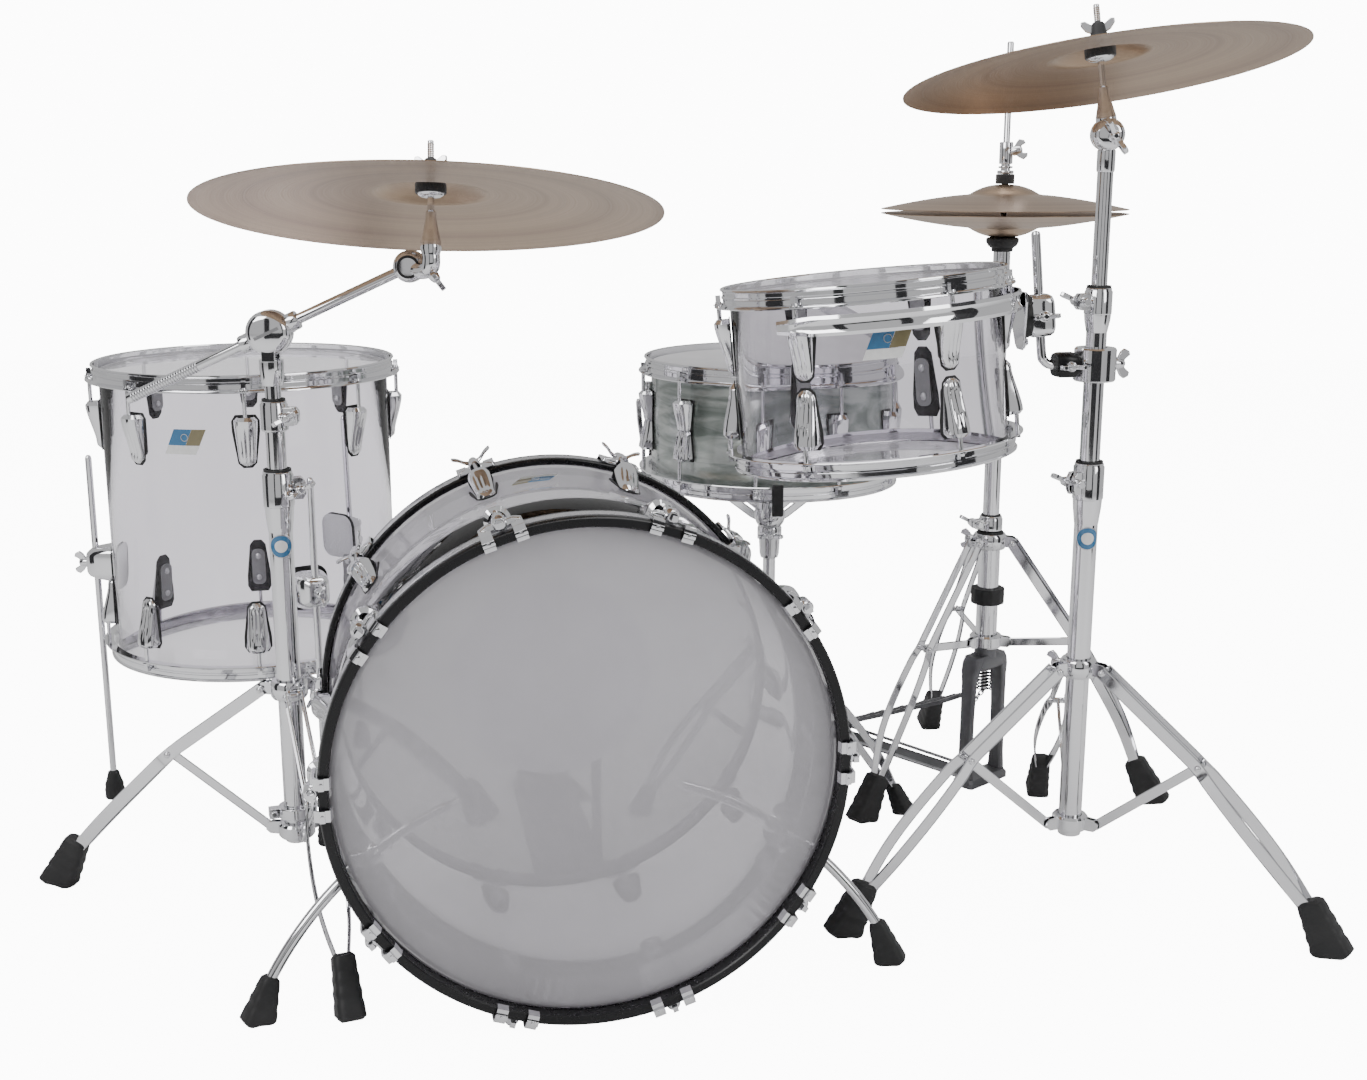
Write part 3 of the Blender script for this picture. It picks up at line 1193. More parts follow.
def tripod_leg(name, spec, place, leg_body, stay_body, leg_nodes=(), stay_nodes=()):
    """One leg of two bars, with its pins and boot, and its stay."""
    path, bend_start = leg_path(spec)
    knee_share = (bend_start + 2.5) / (len(path) - 1)

    def spread(t, side):
        if t < knee_share:
            return side * 0.0098
        s = (t - knee_share) / (1 - knee_share)
        return side * (0.0098 + 0.01 * sin(pi * min(s * 1.1, 1)) - 0.003 * s)

    bars = [flat_bar(path, spec["bar"], 0.003, lambda t, side=side: spread(t, side)) for side in (-1, 1)]
    (kx, kz), k = spec["knee"], spec["size"]
    pins = []
    half = 0.0135
    for x, z in ((kx, kz), (spec["root"] + 0.002, spec["collar"] - 0.001)):
        pin = [(0, -half - 0.0012), (0.0032, -half), (0.0042, -half + 0.0016), (0.0042, half - 0.0016),
               (0.0032, half), (0, half + 0.0012)]
        pins.append(moved(spun(pin, 18), at(x, 0, z) @ TO_FRONT))
    piece(f"{name}_bars", joined(*bars, *pins), chrome, leg_body, place, replaces=leg_nodes)
    sole = boot((spec["reach"] - 0.03 * k, 0.066 * k), (spec["reach"] + 0.006 * k, -0.002),
                (0.0145 * k, 0.0125 * min(k * 1.3, 1)), (0.025 * k, 0.0165), 0.0)
    piece(f"{name}_boot", sole, rubber, leg_body, place)
    link = flat_bar([(spec["root"] + 0.001, spec["hub"]), (kx, kz)], 0.013, 0.003, lambda t: 0.0)
    piece(f"{name}_stay", link, chrome, stay_body, place, replaces=stay_nodes)


print("leg ready")

# %% Collars and hubs


def tripod_rings(name, spec, place, angles, collar_body, collar_nodes=()):
    """The collar that slides and the hub that doesn't, each with three ears."""
    tube, root = spec["tube"], spec["root"]
    for part_name, body, gap, tall in (("collar", collar_body, 0.0062, 0.012), ("hub", "frame", 0.0042, 0.01)):
        height = spec[part_name]
        band = [(tube + 0.0006, height - tall), (tube + 0.006, height - tall),
                (tube + 0.0085, height - tall * 0.7), (tube + 0.0085, height + tall * 0.7),
                (tube + 0.006, height + tall), (tube + 0.0006, height + tall)]
        ears = [spun(band, 40)]
        for a in angles:
            for side in (-1, 1):
                ear = [(tube + 0.004, height - 0.008), (root + 0.001, height - 0.0075),
                       (root + 0.0065, height - 0.003), (root + 0.0065, height + 0.004),
                       (root + 0.001, height + 0.008), (tube + 0.004, height + 0.009)]
                ears.append(moved(plate(ear, 0.0024, side * (gap - 0.0002)), turn(radians(a))))
        piece(f"{name}_{part_name}", joined(*ears), chrome, body, place,
              replaces=collar_nodes if part_name == "collar" else ())
    spot = place @ turn(radians(angles[0] + 60)) @ at(tube + 0.008, 0, spec["collar"]) @ TO_RIGHT
    piece(f"{name}_collar_wing", wing(0.032), chrome, collar_body, spot, soften=0.0006)


def fixed_tripod(name, place, first, node):
    """A tripod of the frame that doesn't fold; first is its first leg's direction in degrees."""
    spec, angles = TRIPODS[name], [first + 120 * k for k in range(3)]
    tripod_rings(name, spec, place, angles, "frame", [node])
    for label, a in zip("abc", angles):
        tripod_leg(f"{name}_leg_{label}", spec, place @ turn(radians(a)), "frame", "frame")


print("collar ready")

# %% The four tripods
SNARE_FLOOR = at(SNARE.translation.x, SNARE.translation.y, 0)
fixed_tripod("snare", SNARE_FLOOR, 91, "snare_stand_tripod")
fixed_tripod("hihat", HAT, 99.5, "hihat_tripod")
fixed_tripod("boom", BOOM, 52, "boom_tripod")
crash_angles = [84.6, 204.6, 324.6]
tripod_rings("crash", TRIPODS["crash"], CRASH, crash_angles, "crash_collar", ["crash_collar"])
for label, a in zip("abc", crash_angles):
    tripod_leg(f"crash_leg_{label}", TRIPODS["crash"], CRASH @ turn(radians(a)), f"crash_leg_{label}",
               f"crash_stay_{label}", [f"crash_leg_{label}"], [f"crash_stay_{label}"])
print("tripods done")

# %% [markdown]
# ## Stand tubes and their clamps
#
# A stand is tubes inside tubes. Where one enters another there is a split clamp: a cast ring with two lugs and
# a wing bolt, a nylon bush just showing above it, and a loose memory lock that marks the height the player
# wants.

# %% Tubes, clamps and badges


def pipe(radius, low, high, wall=0.0014, tip=0.0007):
    """A tube along Z with its rims eased."""
    return spun([(radius - wall, low), (radius - tip, low), (radius, low + tip), (radius, high - tip),
                 (radius - tip, high), (radius - wall, high)], 48)


def cast_clamp(name, place, body, inner, outer, low, high, azimuth, bush=0.0026, nodes=()):
    """Split clamp about a tube, with its wing bolt on the given side."""
    middle, tall = (low + high) / 2, high - low
    ring_profile = [(inner, low), (outer - 0.002, low), (outer, low + 0.002), (outer, high - 0.005),
                    (outer - 0.0012, high - 0.003), (outer - 0.0012, high - 0.001), (outer - 0.002, high),
                    (inner, high)]
    lugs = []
    for side in (-1, 1):
        outline = [(-0.006, -tall * 0.3), (0.01, -tall * 0.3), (0.014, -tall * 0.16), (0.014, tall * 0.16),
                   (0.01, tall * 0.3), (-0.006, tall * 0.3)]
        lugs.append(moved(plate(outline, 0.006, side * 0.0046), at(outer, 0, middle)))
    bolt = moved(spun([(0, -0.013), (0.0048, -0.013), (0.0056, -0.0115), (0.0056, 0.0078), (0, 0.0078)], 20),
                 at(outer + 0.006, 0, middle) @ TO_FRONT)
    turned_place = place @ turn(radians(azimuth))
    piece(name, joined(spun(ring_profile, 48), *lugs, bolt), chrome, body, turned_place, soften=0.0006,
          replaces=nodes)
    piece(f"{name}_wing", wing(0.04), chrome, body,
          turned_place @ at(outer + 0.006, -0.0078, middle) @ TO_FRONT @ turn(0.5), soften=0.0008)
    cup = [(inner - 0.0004, high - 0.003), (inner + 0.0022, high - 0.003), (inner + 0.0022, high + bush),
           (inner - 0.0004, high + bush)]
    piece(f"{name}_bush", spun(cup, 40), rubber, body, place)


def memory_lock(name, place, body, inner, low, azimuth):
    """A loose ring with a screw, which marks a height on a tube."""
    outer, high = inner + 0.0075, low + 0.015
    band = spun([(inner, low), (outer - 0.001, low), (outer, low + 0.001), (outer, high - 0.001),
                 (outer - 0.001, high), (inner, high)], 40)
    lug_block = brick((outer - 0.002, -0.0075, low + 0.001), (outer + 0.012, 0.0075, high - 0.001))
    screw = moved(spun([(0, -0.0115), (0.0038, -0.0115), (0.0046, -0.01), (0.0046, 0.0085), (0, 0.0085)], 12),
                  at(outer + 0.006, 0, low + 0.0075) @ TO_FRONT)
    piece(name, joined(band, lug_block, screw), chrome, body, place @ turn(radians(azimuth)), soften=0.0006)


def round_badge(name, place, body, radius, height, azimuth, corners=24):
    """Plain round enamel disc, bent round a tube: a ring about a blank middle."""
    for label, size, lift, coat in (("rim", 0.015, 0.0004, satin_steel), ("field", 0.0138, 0.0007, enamel_blue),
                                    ("middle", 0.0078, 0.001, enamel_white)):
        rings = []
        for r in (size * 0.5, size):
            spots = [(r * cos(a) / radius, r * sin(a)) for a in (2 * pi * i / corners for i in range(corners))]
            rings.append([((radius + lift) * cos(b), (radius + lift) * sin(b), z) for b, z in spots])
        back = [[(x * 0.96, y * 0.96, z) for x, y, z in row] for row in rings]
        piece(f"{name}_{label}", skin([rings[0], rings[1], back[1], back[0]]), coat, body,
              place @ turn(radians(azimuth)) @ at(0, 0, height), sharp=30)


def flare(name, place, body, inner, low, profile):
    """The widened mouth of a tube, under its clamp."""
    rows = [(inner, low), *[(r, low + z) for r, z in profile]]
    piece(name, spun([*rows, (inner, rows[-1][1] + 0.002)], 48), chrome, body, place)


print("tube parts ready")

# %% The snare's and hi-hat's tubes
piece("snare_low_tube", pipe(0.0157, 0.07, 0.298), chrome, "frame", SNARE_FLOOR)
cast_clamp("snare_clamp", SNARE_FLOOR, "frame", 0.016, 0.0205, 0.272, 0.302, 200)
piece("snare_high_tube", pipe(0.0095, 0.16, 0.4), chrome, "snare_upper", SNARE_FLOOR,
      replaces=["snare_stand_upper_tube"])
knuckle = spun([(0.008, 0.366), (0.013, 0.368), (0.0148, 0.374), (0.016, 0.396), (0.0185, 0.402),
                (0.0185, 0.414), (0.015, 0.42), (0.007, 0.4217)], 36)
piece("snare_knuckle", knuckle, chrome, "snare_upper", SNARE_FLOOR)

piece("hihat_high_tube", pipe(0.0125, 0.23, 0.8295), chrome, "frame", HAT, replaces=["hihat_upper_tube"])
piece("hihat_mid_tube", pipe(0.0163, 0.222, 0.392), chrome, "frame", HAT)
print("snare and hi-hat tubes done")

# %% The straight stand's and boom stand's tubes
wide_mouth = [(0.0154, 0.002), (0.0178, 0.022), (0.0186, 0.034)]
narrow_mouth = [(0.0132, 0.002), (0.016, 0.016), (0.0166, 0.024)]
piece("crash_low_tube", pipe(0.015, 0.078, 0.548), chrome, "frame", CRASH, replaces=["crash_lower_tube"])
piece("crash_mid_tube", pipe(0.0128, 0.5, 0.79), chrome, "frame", CRASH)
flare("crash_flare", CRASH, "frame", 0.0148, 0.5, wide_mouth)
cast_clamp("crash_clamp_low", CRASH, "frame", 0.015, 0.0195, 0.532, 0.58, 215)
flare("crash_flare_high", CRASH, "frame", 0.0126, 0.744, narrow_mouth)
cast_clamp("crash_clamp_high", CRASH, "frame", 0.0129, 0.0172, 0.766, 0.8, 200)
round_badge("crash_badge", CRASH, "frame", 0.015, 0.484, -92)
piece("crash_high_tube", pipe(0.0098, 0.66, 0.962), chrome, "crash_upper", CRASH, replaces=["crash_upper_tube"])
piece("crash_sleeve", spun([(0.009, 0.939), (0.0106, 0.94), (0.0112, 0.942), (0.0112, 0.965), (0.01, 0.9665),
                            (0.004, 0.9665), (0.004, 0.962), (0.009, 0.962)], 40), chrome, "crash_upper", CRASH)

piece("boom_low_tube", pipe(0.015, 0.084, 0.542), chrome, "frame", BOOM, replaces=["boom_lower_tube"])
flare("boom_flare", BOOM, "frame", 0.0148, 0.498, wide_mouth)
cast_clamp("boom_clamp_low", BOOM, "frame", 0.015, 0.0195, 0.53, 0.576, 20)
memory_lock("boom_lock", BOOM, "frame", 0.0152, 0.118, 200)
round_badge("boom_badge", BOOM, "frame", 0.015, 0.482, -78)
piece("boom_high_tube", pipe(0.0122, 0.42, 0.645), chrome, "boom_upper", BOOM, replaces=["boom_upper_tube"])
cast_clamp("boom_clamp_high", BOOM, "boom_upper", 0.0123, 0.017, 0.626, 0.664, -10)
piece("boom_neck", pipe(0.01, 0.64, 0.704), chrome, "boom_upper", BOOM)
piece("boom_top_ring", spun([(0.008, 0.6825), (0.012, 0.683), (0.0138, 0.69), (0.0152, 0.706), (0.015, 0.7145),
                           (0.008, 0.7145)], 40), chrome, "boom_upper", BOOM)
print("tubes done")

# %% [markdown]
# ## Cymbals, by one Geometry Nodes tree
#
# A cymbal follows a rule: from the hole the bell falls in a curve, then the bow runs out almost straight to a
# thin edge. The tree starts with a flat grid whose one direction goes round and whose other runs from the hole
# out along the top, over the edge, back along the underside and up through the hole. A few sums turn that grid
# into the cymbal, merging closes the seams, and the radius of every corner is stored in the map `turned` for
# the lathe marks. All four cymbals come from it.

# %% The cymbal tree


def cymbal_tree(sides=160, rows=38):
    sizes = ("Radius", "Rise", "Bell", "Hole", "Thickness")
    tree, given, out = new_tree("cymbal", [*((name, "Float") for name in sizes), ("Finish", "Material")])
    radius, rise, bell, hole, thickness = (given.outputs[name] for name in sizes)

    def sum_of(operation, a, b=None):
        return maths(tree, operation, a, b)

    link = tree.links.new
    last = 2 * rows + 2
    grid = tree.nodes.new("GeometryNodeMeshGrid")
    grid.inputs["Vertices X"].default_value, grid.inputs["Vertices Y"].default_value = sides + 1, last + 1
    ends = tree.nodes.new("ShaderNodeSeparateXYZ")
    link(grid.outputs["UV Map"], ends.inputs[0])
    around, row = ends.outputs[0], sum_of("ROUND", sum_of("MULTIPLY", ends.outputs[1], last))
    # How far out: 0 at the hole and 1 at the edge, on the top and again on the way back.
    back = sum_of("SUBTRACT", 2 * rows + 1, row)
    share = sum_of("MAXIMUM", sum_of("DIVIDE", sum_of("MINIMUM", row, back), rows), 0)
    eased = sum_of("MULTIPLY", sum_of("SUBTRACT", radius, hole), sum_of("POWER", share, 1.2))
    far = sum_of("ADD", hole, eased)
    # How far down: the bell takes 42 % of the fall and the bow the rest.
    on_bell = sum_of("MINIMUM", sum_of("DIVIDE", far, bell), 1)
    past_bell = sum_of("MAXIMUM", sum_of("SUBTRACT", far, bell), 0)
    on_bow = sum_of("POWER", sum_of("DIVIDE", past_bell, sum_of("SUBTRACT", radius, bell)), 1.4)
    fall = sum_of("ADD", sum_of("MULTIPLY", sum_of("POWER", on_bell, 2.4), 0.42),
                  sum_of("MULTIPLY", on_bow, 0.58))
    # The top lies one thickness above the underside, and the thickness thins towards the edge.
    lower = sum_of("MULTIPLY", sum_of("GREATER_THAN", row, rows + 0.5),
                   sum_of("LESS_THAN", row, 2 * rows + 1.5))
    thick = sum_of("MULTIPLY", thickness, sum_of("SUBTRACT", 1, sum_of("MULTIPLY", share, 0.4)))
    lift = sum_of("MULTIPLY", thick, sum_of("SUBTRACT", 1, lower))
    height = sum_of("SUBTRACT", lift, sum_of("MULTIPLY", fall, rise))
    angle = sum_of("MULTIPLY", around, 2 * pi)
    spot, map_spot = tree.nodes.new("ShaderNodeCombineXYZ"), tree.nodes.new("ShaderNodeCombineXYZ")
    link(sum_of("MULTIPLY", far, sum_of("COSINE", angle)), spot.inputs[0])
    link(sum_of("MULTIPLY", far, sum_of("SINE", angle)), spot.inputs[1])
    link(height, spot.inputs[2])
    link(around, map_spot.inputs[0])
    link(far, map_spot.inputs[1])
    store = tree.nodes.new("GeometryNodeStoreNamedAttribute")
    store.data_type, store.domain = "FLOAT2", "CORNER"
    store.inputs["Name"].default_value = "turned"
    place = tree.nodes.new("GeometryNodeSetPosition")
    close = tree.nodes.new("GeometryNodeMergeByDistance")
    close.inputs["Distance"].default_value = 0.00001
    real = tree.nodes.new("GeometryNodeRealizeInstances")
    coat = tree.nodes.new("GeometryNodeSetMaterial")
    link(map_spot.outputs[0], store.inputs["Value"])
    link(spot.outputs[0], place.inputs["Position"])
    link(given.outputs["Finish"], coat.inputs["Material"])
    chained = (grid, store, place, close, real, coat, out)
    for before, after in zip(chained, chained[1:]):
        link(before.outputs[0], after.inputs[0])
    return tree


CYMBAL = cymbal_tree()
print("nodes in the cymbal tree", len(CYMBAL.nodes))

# %% The four cymbals


def cymbal(name, radius, rise, bell, place, body, node):
    """A cymbal whose hole is at its place's origin, with its bell up."""
    mesh = grown(CYMBAL, {"Radius": radius, "Rise": rise, "Bell": bell, "Hole": 0.0065, "Thickness": 0.0016,
                          "Finish": bronze})
    shape = bmesh.new()
    shape.from_mesh(mesh)
    bmesh.ops.recalc_face_normals(shape, faces=shape.faces)
    shape.to_mesh(mesh)
    shape.free()
    return piece(name, mesh, bronze, body, place, sharp=60, replaces=[node])


CRASH_TILT = Vector((-0.11, 0.147, 1.0)).normalized()
RIDE_TILT = Vector((0.0, 0.2147, 0.9767)).normalized()
CRASH_PIVOT, RIDE_PIVOT = CRASH @ at(0, 0, 0.984), BOOM @ at(0.175, 0, 0.8281)
RIDE_POST = Vector((0.03, -0.03, 0.01))
CRASH_HOLE = CRASH_PIVOT @ at(*(CRASH_TILT * 0.108)) @ facing(CRASH_TILT)
RIDE_HOLE = RIDE_PIVOT @ at(*(RIDE_POST + RIDE_TILT * 0.094)) @ facing(RIDE_TILT)
cymbal("crash", 0.2405, 0.034, 0.06, CRASH_HOLE, "crash_cymbal", "crash_cymbal")
cymbal("ride", 0.2795, 0.038, 0.068, RIDE_HOLE, "ride_cymbal", "ride_cymbal")
HAT_TOP, HAT_BOTTOM = 0.9189, 0.8455  # the holes of the two hats
cymbal("hat_top", 0.178, 0.034, 0.051, HAT @ at(0, 0, HAT_TOP), "hat_rod", "hihat_top_cymbal")
cymbal("hat_bottom", 0.178, 0.034, 0.051, HAT @ at(0, 0, HAT_BOTTOM) @ OVER, "frame",
       "hihat_bottom_cymbal")
print("cymbals done")

# %% [markdown]
# ## Tilters and the boom
#
# A tilter is a toothed joint squeezed by a wing bolt. The cymbal sits between two felts on a plastic sleeve, on
# a thin post that rises from the joint, under a wing nut. The boom is a rod through a larger joint of the same
# kind.

# %% Tilter pieces


def joint_disc(radius, half, gap=0.0006):
    """Two toothed discs face to face, with their axis along Y."""
    halves = []
    for side in (-1, 1):
        profile = [(0, gap), (radius * 0.9, gap), (radius, gap + 0.0014), (radius, half * 0.55),
                   (radius * 0.94, half * 0.72), (radius * 0.8, half * 0.9), (radius * 0.62, half), (0, half)]
        halves.append(moved(spun(profile, 48), turn(side * pi / 2, "X")))
    return joined(*halves)


def cymbal_seat(name, hole, body):
    """Cup, felts, sleeve and wing nut about a cymbal's hole, on its own axis."""
    cup = spun([(0.0043, -0.02), (0.011, -0.02), (0.015, -0.018), (0.016, -0.016), (0.0043, -0.016)], 32)
    piece(f"{name}_cup", cup, chrome, body, hole)
    low_felt = spun([(0.0043, -0.0158), (0.0178, -0.0158), (0.0188, -0.0145), (0.0188, -0.0045),
                     (0.0178, -0.003), (0.0043, -0.003)], 40)
    piece(f"{name}_felt_low", low_felt, felt, body, hole)
    high_felt = spun([(0.0043, 0.0027), (0.011, 0.0027), (0.0158, 0.004), (0.0158, 0.0072), (0.0148, 0.0084),
                      (0.0043, 0.0084)], 40)
    piece(f"{name}_felt_high", high_felt, felt, body, hole)
    sleeve = spun([(0.0043, -0.0028), (0.006, -0.0028), (0.006, 0.0016), (0.0043, 0.0016)], 24)
    piece(f"{name}_sleeve", sleeve, rubber, body, hole)
    nut = spun([(0.0043, 0.0086), (0.0112, 0.0086), (0.0118, 0.0098), (0.01, 0.0125), (0.008, 0.024),
                (0.006, 0.0262), (0.0043, 0.0262)], 28)
    piece(f"{name}_nut", nut, rubber, body, hole)
    wings = []
    for side in (-1, 1):
        half = ((0.007, 0.0125), (0.015, 0.0165), (0.0205, 0.024), (0.02, 0.029), (0.015, 0.0295),
                (0.007, 0.0235))
        wings.append(plate([(side * x, z) for x, z in half[::side]], 0.0046))
    piece(f"{name}_nut_wings", joined(*wings), chrome, body, hole @ turn(radians(-12)), soften=0.001)


def post(start, way, length):
    """Cymbal post with a shoulder at its root and a threaded end."""
    profile = [(0, 0.002), (0.0105, 0.004), (0.0128, 0.012), (0.0122, 0.022), (0.009, 0.036), (0.0068, 0.048),
               (0.0064, 0.056), (0.0043, 0.058), (0.0042, length - 0.03)]
    for k in range(12):
        z = length - 0.029 + k * 0.0022
        profile += [(0.0042, z), (0.0037, z + 0.0011)]
    profile += [(0.0038, length - 0.001), (0.0028, length), (0, length)]
    return moved(spun(profile, 20), at(*start) @ facing(way))


print("tilter parts ready")

# %% The straight stand's tilter
piece("crash_joint", joint_disc(0.0196, 0.0155), chrome, "crash_tilter", CRASH_PIVOT, replaces=["crash_tilter"])
piece("crash_post", post(Vector(), CRASH_TILT, 0.156), chrome, "crash_tilter", CRASH_PIVOT)
piece("crash_joint_wing", wing(0.05, 0.0065), chrome, "crash_tilter",
      CRASH_PIVOT @ at(0.004, -0.015, -0.002) @ TO_FRONT @ turn(-1.0), soften=0.001)
yoke = [(0.004, 0.9665), (0.0108, 0.9665), (0.0112, 0.968), (0.009, 0.969), (0.004, 0.969)]
piece("crash_yoke", spun(yoke, 32), chrome, "crash_upper", CRASH)
cymbal_seat("crash_seat", CRASH_HOLE, "crash_tilter")

print("crash tilter done")

# %% The boom and its joint
RISE = radians(24.6)
BOOM_WAY = Vector((cos(RISE), 0, sin(RISE)))
BOOM_HEAD = BOOM @ at(0, 0, 0.748)
piece("boom_joint", joint_disc(0.0275, 0.019, 0.001), chrome, "boom_knuckle", BOOM_HEAD,
      replaces=["boom_knuckle"])
slot = [(BOOM_WAY.x * k, BOOM_WAY.z * k) for k in (-0.0165, 0.0165)]
slot_bar = plate(strip(slot, 0.004), 0.0012, -0.019)
piece("boom_joint_rib", slot_bar, inner_plate, "boom_knuckle", BOOM_HEAD)
for k, (start, end) in enumerate(((-0.039, -0.025), (0.025, 0.039))):
    guide = [(0.0068, start), (0.0112, start), (0.0118, start + 0.002), (0.0118, end - 0.002), (0.0112, end),
             (0.0068, end)]
    piece(f"boom_guide_{k}", spun(guide, 32), chrome, "boom_knuckle", BOOM_HEAD @ facing(BOOM_WAY))
ear = [(-0.0085, -0.002), (0.0085, -0.002), (0.008, 0.014), (0.0045, 0.019), (-0.0045, 0.019), (-0.008, 0.014)]
ears = [plate(ear, 0.004, side * 0.014) for side in (-1, 1)]
piece("boom_joint_foot", moved(joined(*ears), at(0, 0, 0.715)), chrome, "boom_upper", BOOM, soften=0.0008)
piece("boom_joint_wing", wing(0.05), chrome, "boom_knuckle", BOOM_HEAD @ at(0, 0.019, 0) @ TO_REAR,
      soften=0.001)
arm = [(0, -0.198), (0.0056, -0.198), (0.0066, -0.1965), (0.0066, 0.1725), (0.006, 0.174), (0, 0.174)]
piece("boom_rod", spun(arm, 32), chrome, "boom_arm", BOOM_HEAD @ facing(BOOM_WAY), replaces=["boom_arm"])
knurl = []
for k in range(26):
    z = -0.192 + k * 0.0036
    knurl += [(0.0064, z), (0.0069, z + 0.0008), (0.0069, z + 0.0022), (0.0064, z + 0.003)]
piece("boom_rod_knurl", spun([(0.006, -0.193), *knurl, (0.006, -0.098)], 32), satin_steel, "boom_arm",
      BOOM_HEAD @ facing(BOOM_WAY))

print("boom done")

# %% The boom's tilter
piece("ride_joint", joint_disc(0.0196, 0.0155), chrome, "ride_tilter", RIDE_PIVOT, replaces=["ride_tilter"])
piece("ride_joint_face", spun([(0, 0), (0.014, 0), (0.014, 0.0006), (0, 0.0008)], 40), rubber, "ride_tilter",
      RIDE_PIVOT @ at(0, -0.0155, 0) @ TO_FRONT)
piece("ride_joint_cap", spun([(0, 0), (0.0112, 0), (0.0108, 0.0012), (0, 0.0014)], 40), chrome, "ride_tilter",
      RIDE_PIVOT @ at(0, -0.0158, 0) @ TO_FRONT)
elbow = curved([(0.004, -0.004, -0.002), (0.018, -0.016, -0.004), (0.0295, -0.0285, 0.002),
                tuple(RIDE_POST + RIDE_TILT * 0.012)], 6)
piece("ride_elbow", rod(elbow, 0.0108, 20), chrome, "ride_tilter", RIDE_PIVOT)
piece("ride_post", post(RIDE_POST, RIDE_TILT, 0.142), chrome, "ride_tilter", RIDE_PIVOT)
piece("ride_joint_wing", wing(0.054, 0.0065), chrome, "ride_tilter",
      RIDE_PIVOT @ at(0.029, -0.026, -0.006) @ facing((0.62, -0.3, -0.72)) @ turn(0.6), soften=0.001)
cymbal_seat("ride_seat", RIDE_HOLE, "ride_tilter")
print("ride tilter done")

# %% [markdown]
# ## Snare drum and its basket
#
# The snare drum is shallow, with ten lugs that take a rod from both ends. A throw on its left side lets the
# coiled wires off the lower head. It rests in a basket whose three flat arms are squeezed together by a nut
# under the hub.

# %% Snare drum pieces
SNARE_RADIUS, SNARE_TOP, SNARE_BOTTOM, SNARE_MIDDLE = 0.1778, -0.0105, -0.1756, -0.05
FIRST_LUG = radians(-99)
piece("snare_wall", spun(shell_profile(SNARE_RADIUS, 0.0018, SNARE_BOTTOM, SNARE_TOP), 128), pearl,
      "snare_drum", SNARE, replaces=["snare_shell"])
for side, edge, up in (("top", SNARE_TOP, 1), ("bottom", SNARE_BOTTOM, -1)):
    film = white_film if up > 0 else clear_film
    piece(f"snare_{side}_film", spun(film_profile(SNARE_RADIUS, edge, up), 128), film, "snare_drum", SNARE,
          replaces=[f"snare_{side}_head"])
    piece(f"snare_{side}_hoop_pressed", spun(hoop_profile(SNARE_RADIUS, edge, up), 128), chrome, "snare_drum",
          SNARE, replaces=[f"snare_{side}_hoop"])
    flip = SNARE @ at(0, 0, edge - up * ROD_DROP) @ (OVER if up < 0 else Matrix())
    ring(f"snare_{side}_rods", tension_rod(0.036), 10, SNARE_RADIUS + FLANGE, up * FIRST_LUG, chrome,
         "snare_drum", flip)
halves = [lug(height=0.0455, wide=0.03, tail=0.022, deep=0.0195, low=0.012, steps=12) for _ in "ab"]
double = joined(halves[0], moved(halves[1], at(0, 0, -0.086) @ OVER))
ring("snare_lugs", double, 10, SNARE_RADIUS, FIRST_LUG, chrome, "snare_drum", SNARE @ at(0, 0, SNARE_MIDDLE))
pad = [(-0.0165, 0.001), (0.0165, 0.001), (0.0125, -0.036), (0.0125, -0.05), (0.0165, -0.087),
       (-0.0165, -0.087), (-0.0125, -0.05), (-0.0125, -0.036)]
ring("snare_gaskets", moved(plate(pad, 0.0014, -0.0008), turn(pi / 2)), 10, SNARE_RADIUS + 0.0009, FIRST_LUG,
     rubber, "snare_drum", SNARE @ at(0, 0, SNARE_MIDDLE))
print("snare drum done")

# %% The throw and the wires
throw_side = SNARE @ turn(radians(185))
steps = ((0.0012, 0.026, 0.078), (0.0075, 0.026, 0.078), (0.01, 0.022, 0.07))
body_plate = block([(SNARE_RADIUS + x, wide, tall) for x, wide, tall in steps], 0.004, centre=(0, -0.088))
piece("throw_plate", body_plate, chrome, "snare_drum", throw_side, soften=0.0005)
knob = spun([(0, 0), (0.0062, 0), (0.0068, 0.002), (0.0068, 0.01), (0.0055, 0.012), (0, 0.012)], 20)
piece("throw_knob", knob, chrome, "snare_drum", throw_side @ at(SNARE_RADIUS + 0.0045, 0, SNARE_MIDDLE),
      soften=0.0004)
handle = plate([(-0.0045, -0.0035), (0.005, -0.0035), (0.0095, 0.028), (0.011, 0.056), (0.0095, 0.061),
                (0.005, 0.061), (0.004, 0.056), (0.0015, 0.022)], 0.0165)
piece("throw_handle", handle, chrome, "throw_lever", throw_side @ at(0.1898, 0, -0.125), soften=0.0012,
      replaces=["snare_throw_lever"])
wire = pattern(rod([(-0.145, 0, 0), (-0.12, 0, 0.001), (0.12, 0, 0.001), (0.145, 0, 0)], 0.0009, 6))
wires = grown(ROW, {"Piece": wire, "Count": 20, "Step": (0.0, 0.0022, 0.0), "Quarter turns": 0.0,
                    "Finish": satin_steel}, [wire])
across_snare = SNARE @ turn(radians(5))
piece("snare_wires", wires, satin_steel, "snare_drum", across_snare @ at(0, -0.0209, SNARE_BOTTOM - 0.0032))
for label, x in (("left", -0.147), ("right", 0.147)):
    bar = brick((x - 0.005, -0.023, SNARE_BOTTOM - 0.0042), (x + 0.005, 0.023, SNARE_BOTTOM - 0.0016))
    piece(f"snare_wire_plate_{label}", bar, chrome, "snare_drum", across_snare, soften=0.0004)
print("wires", len(wires.polygons), "faces")

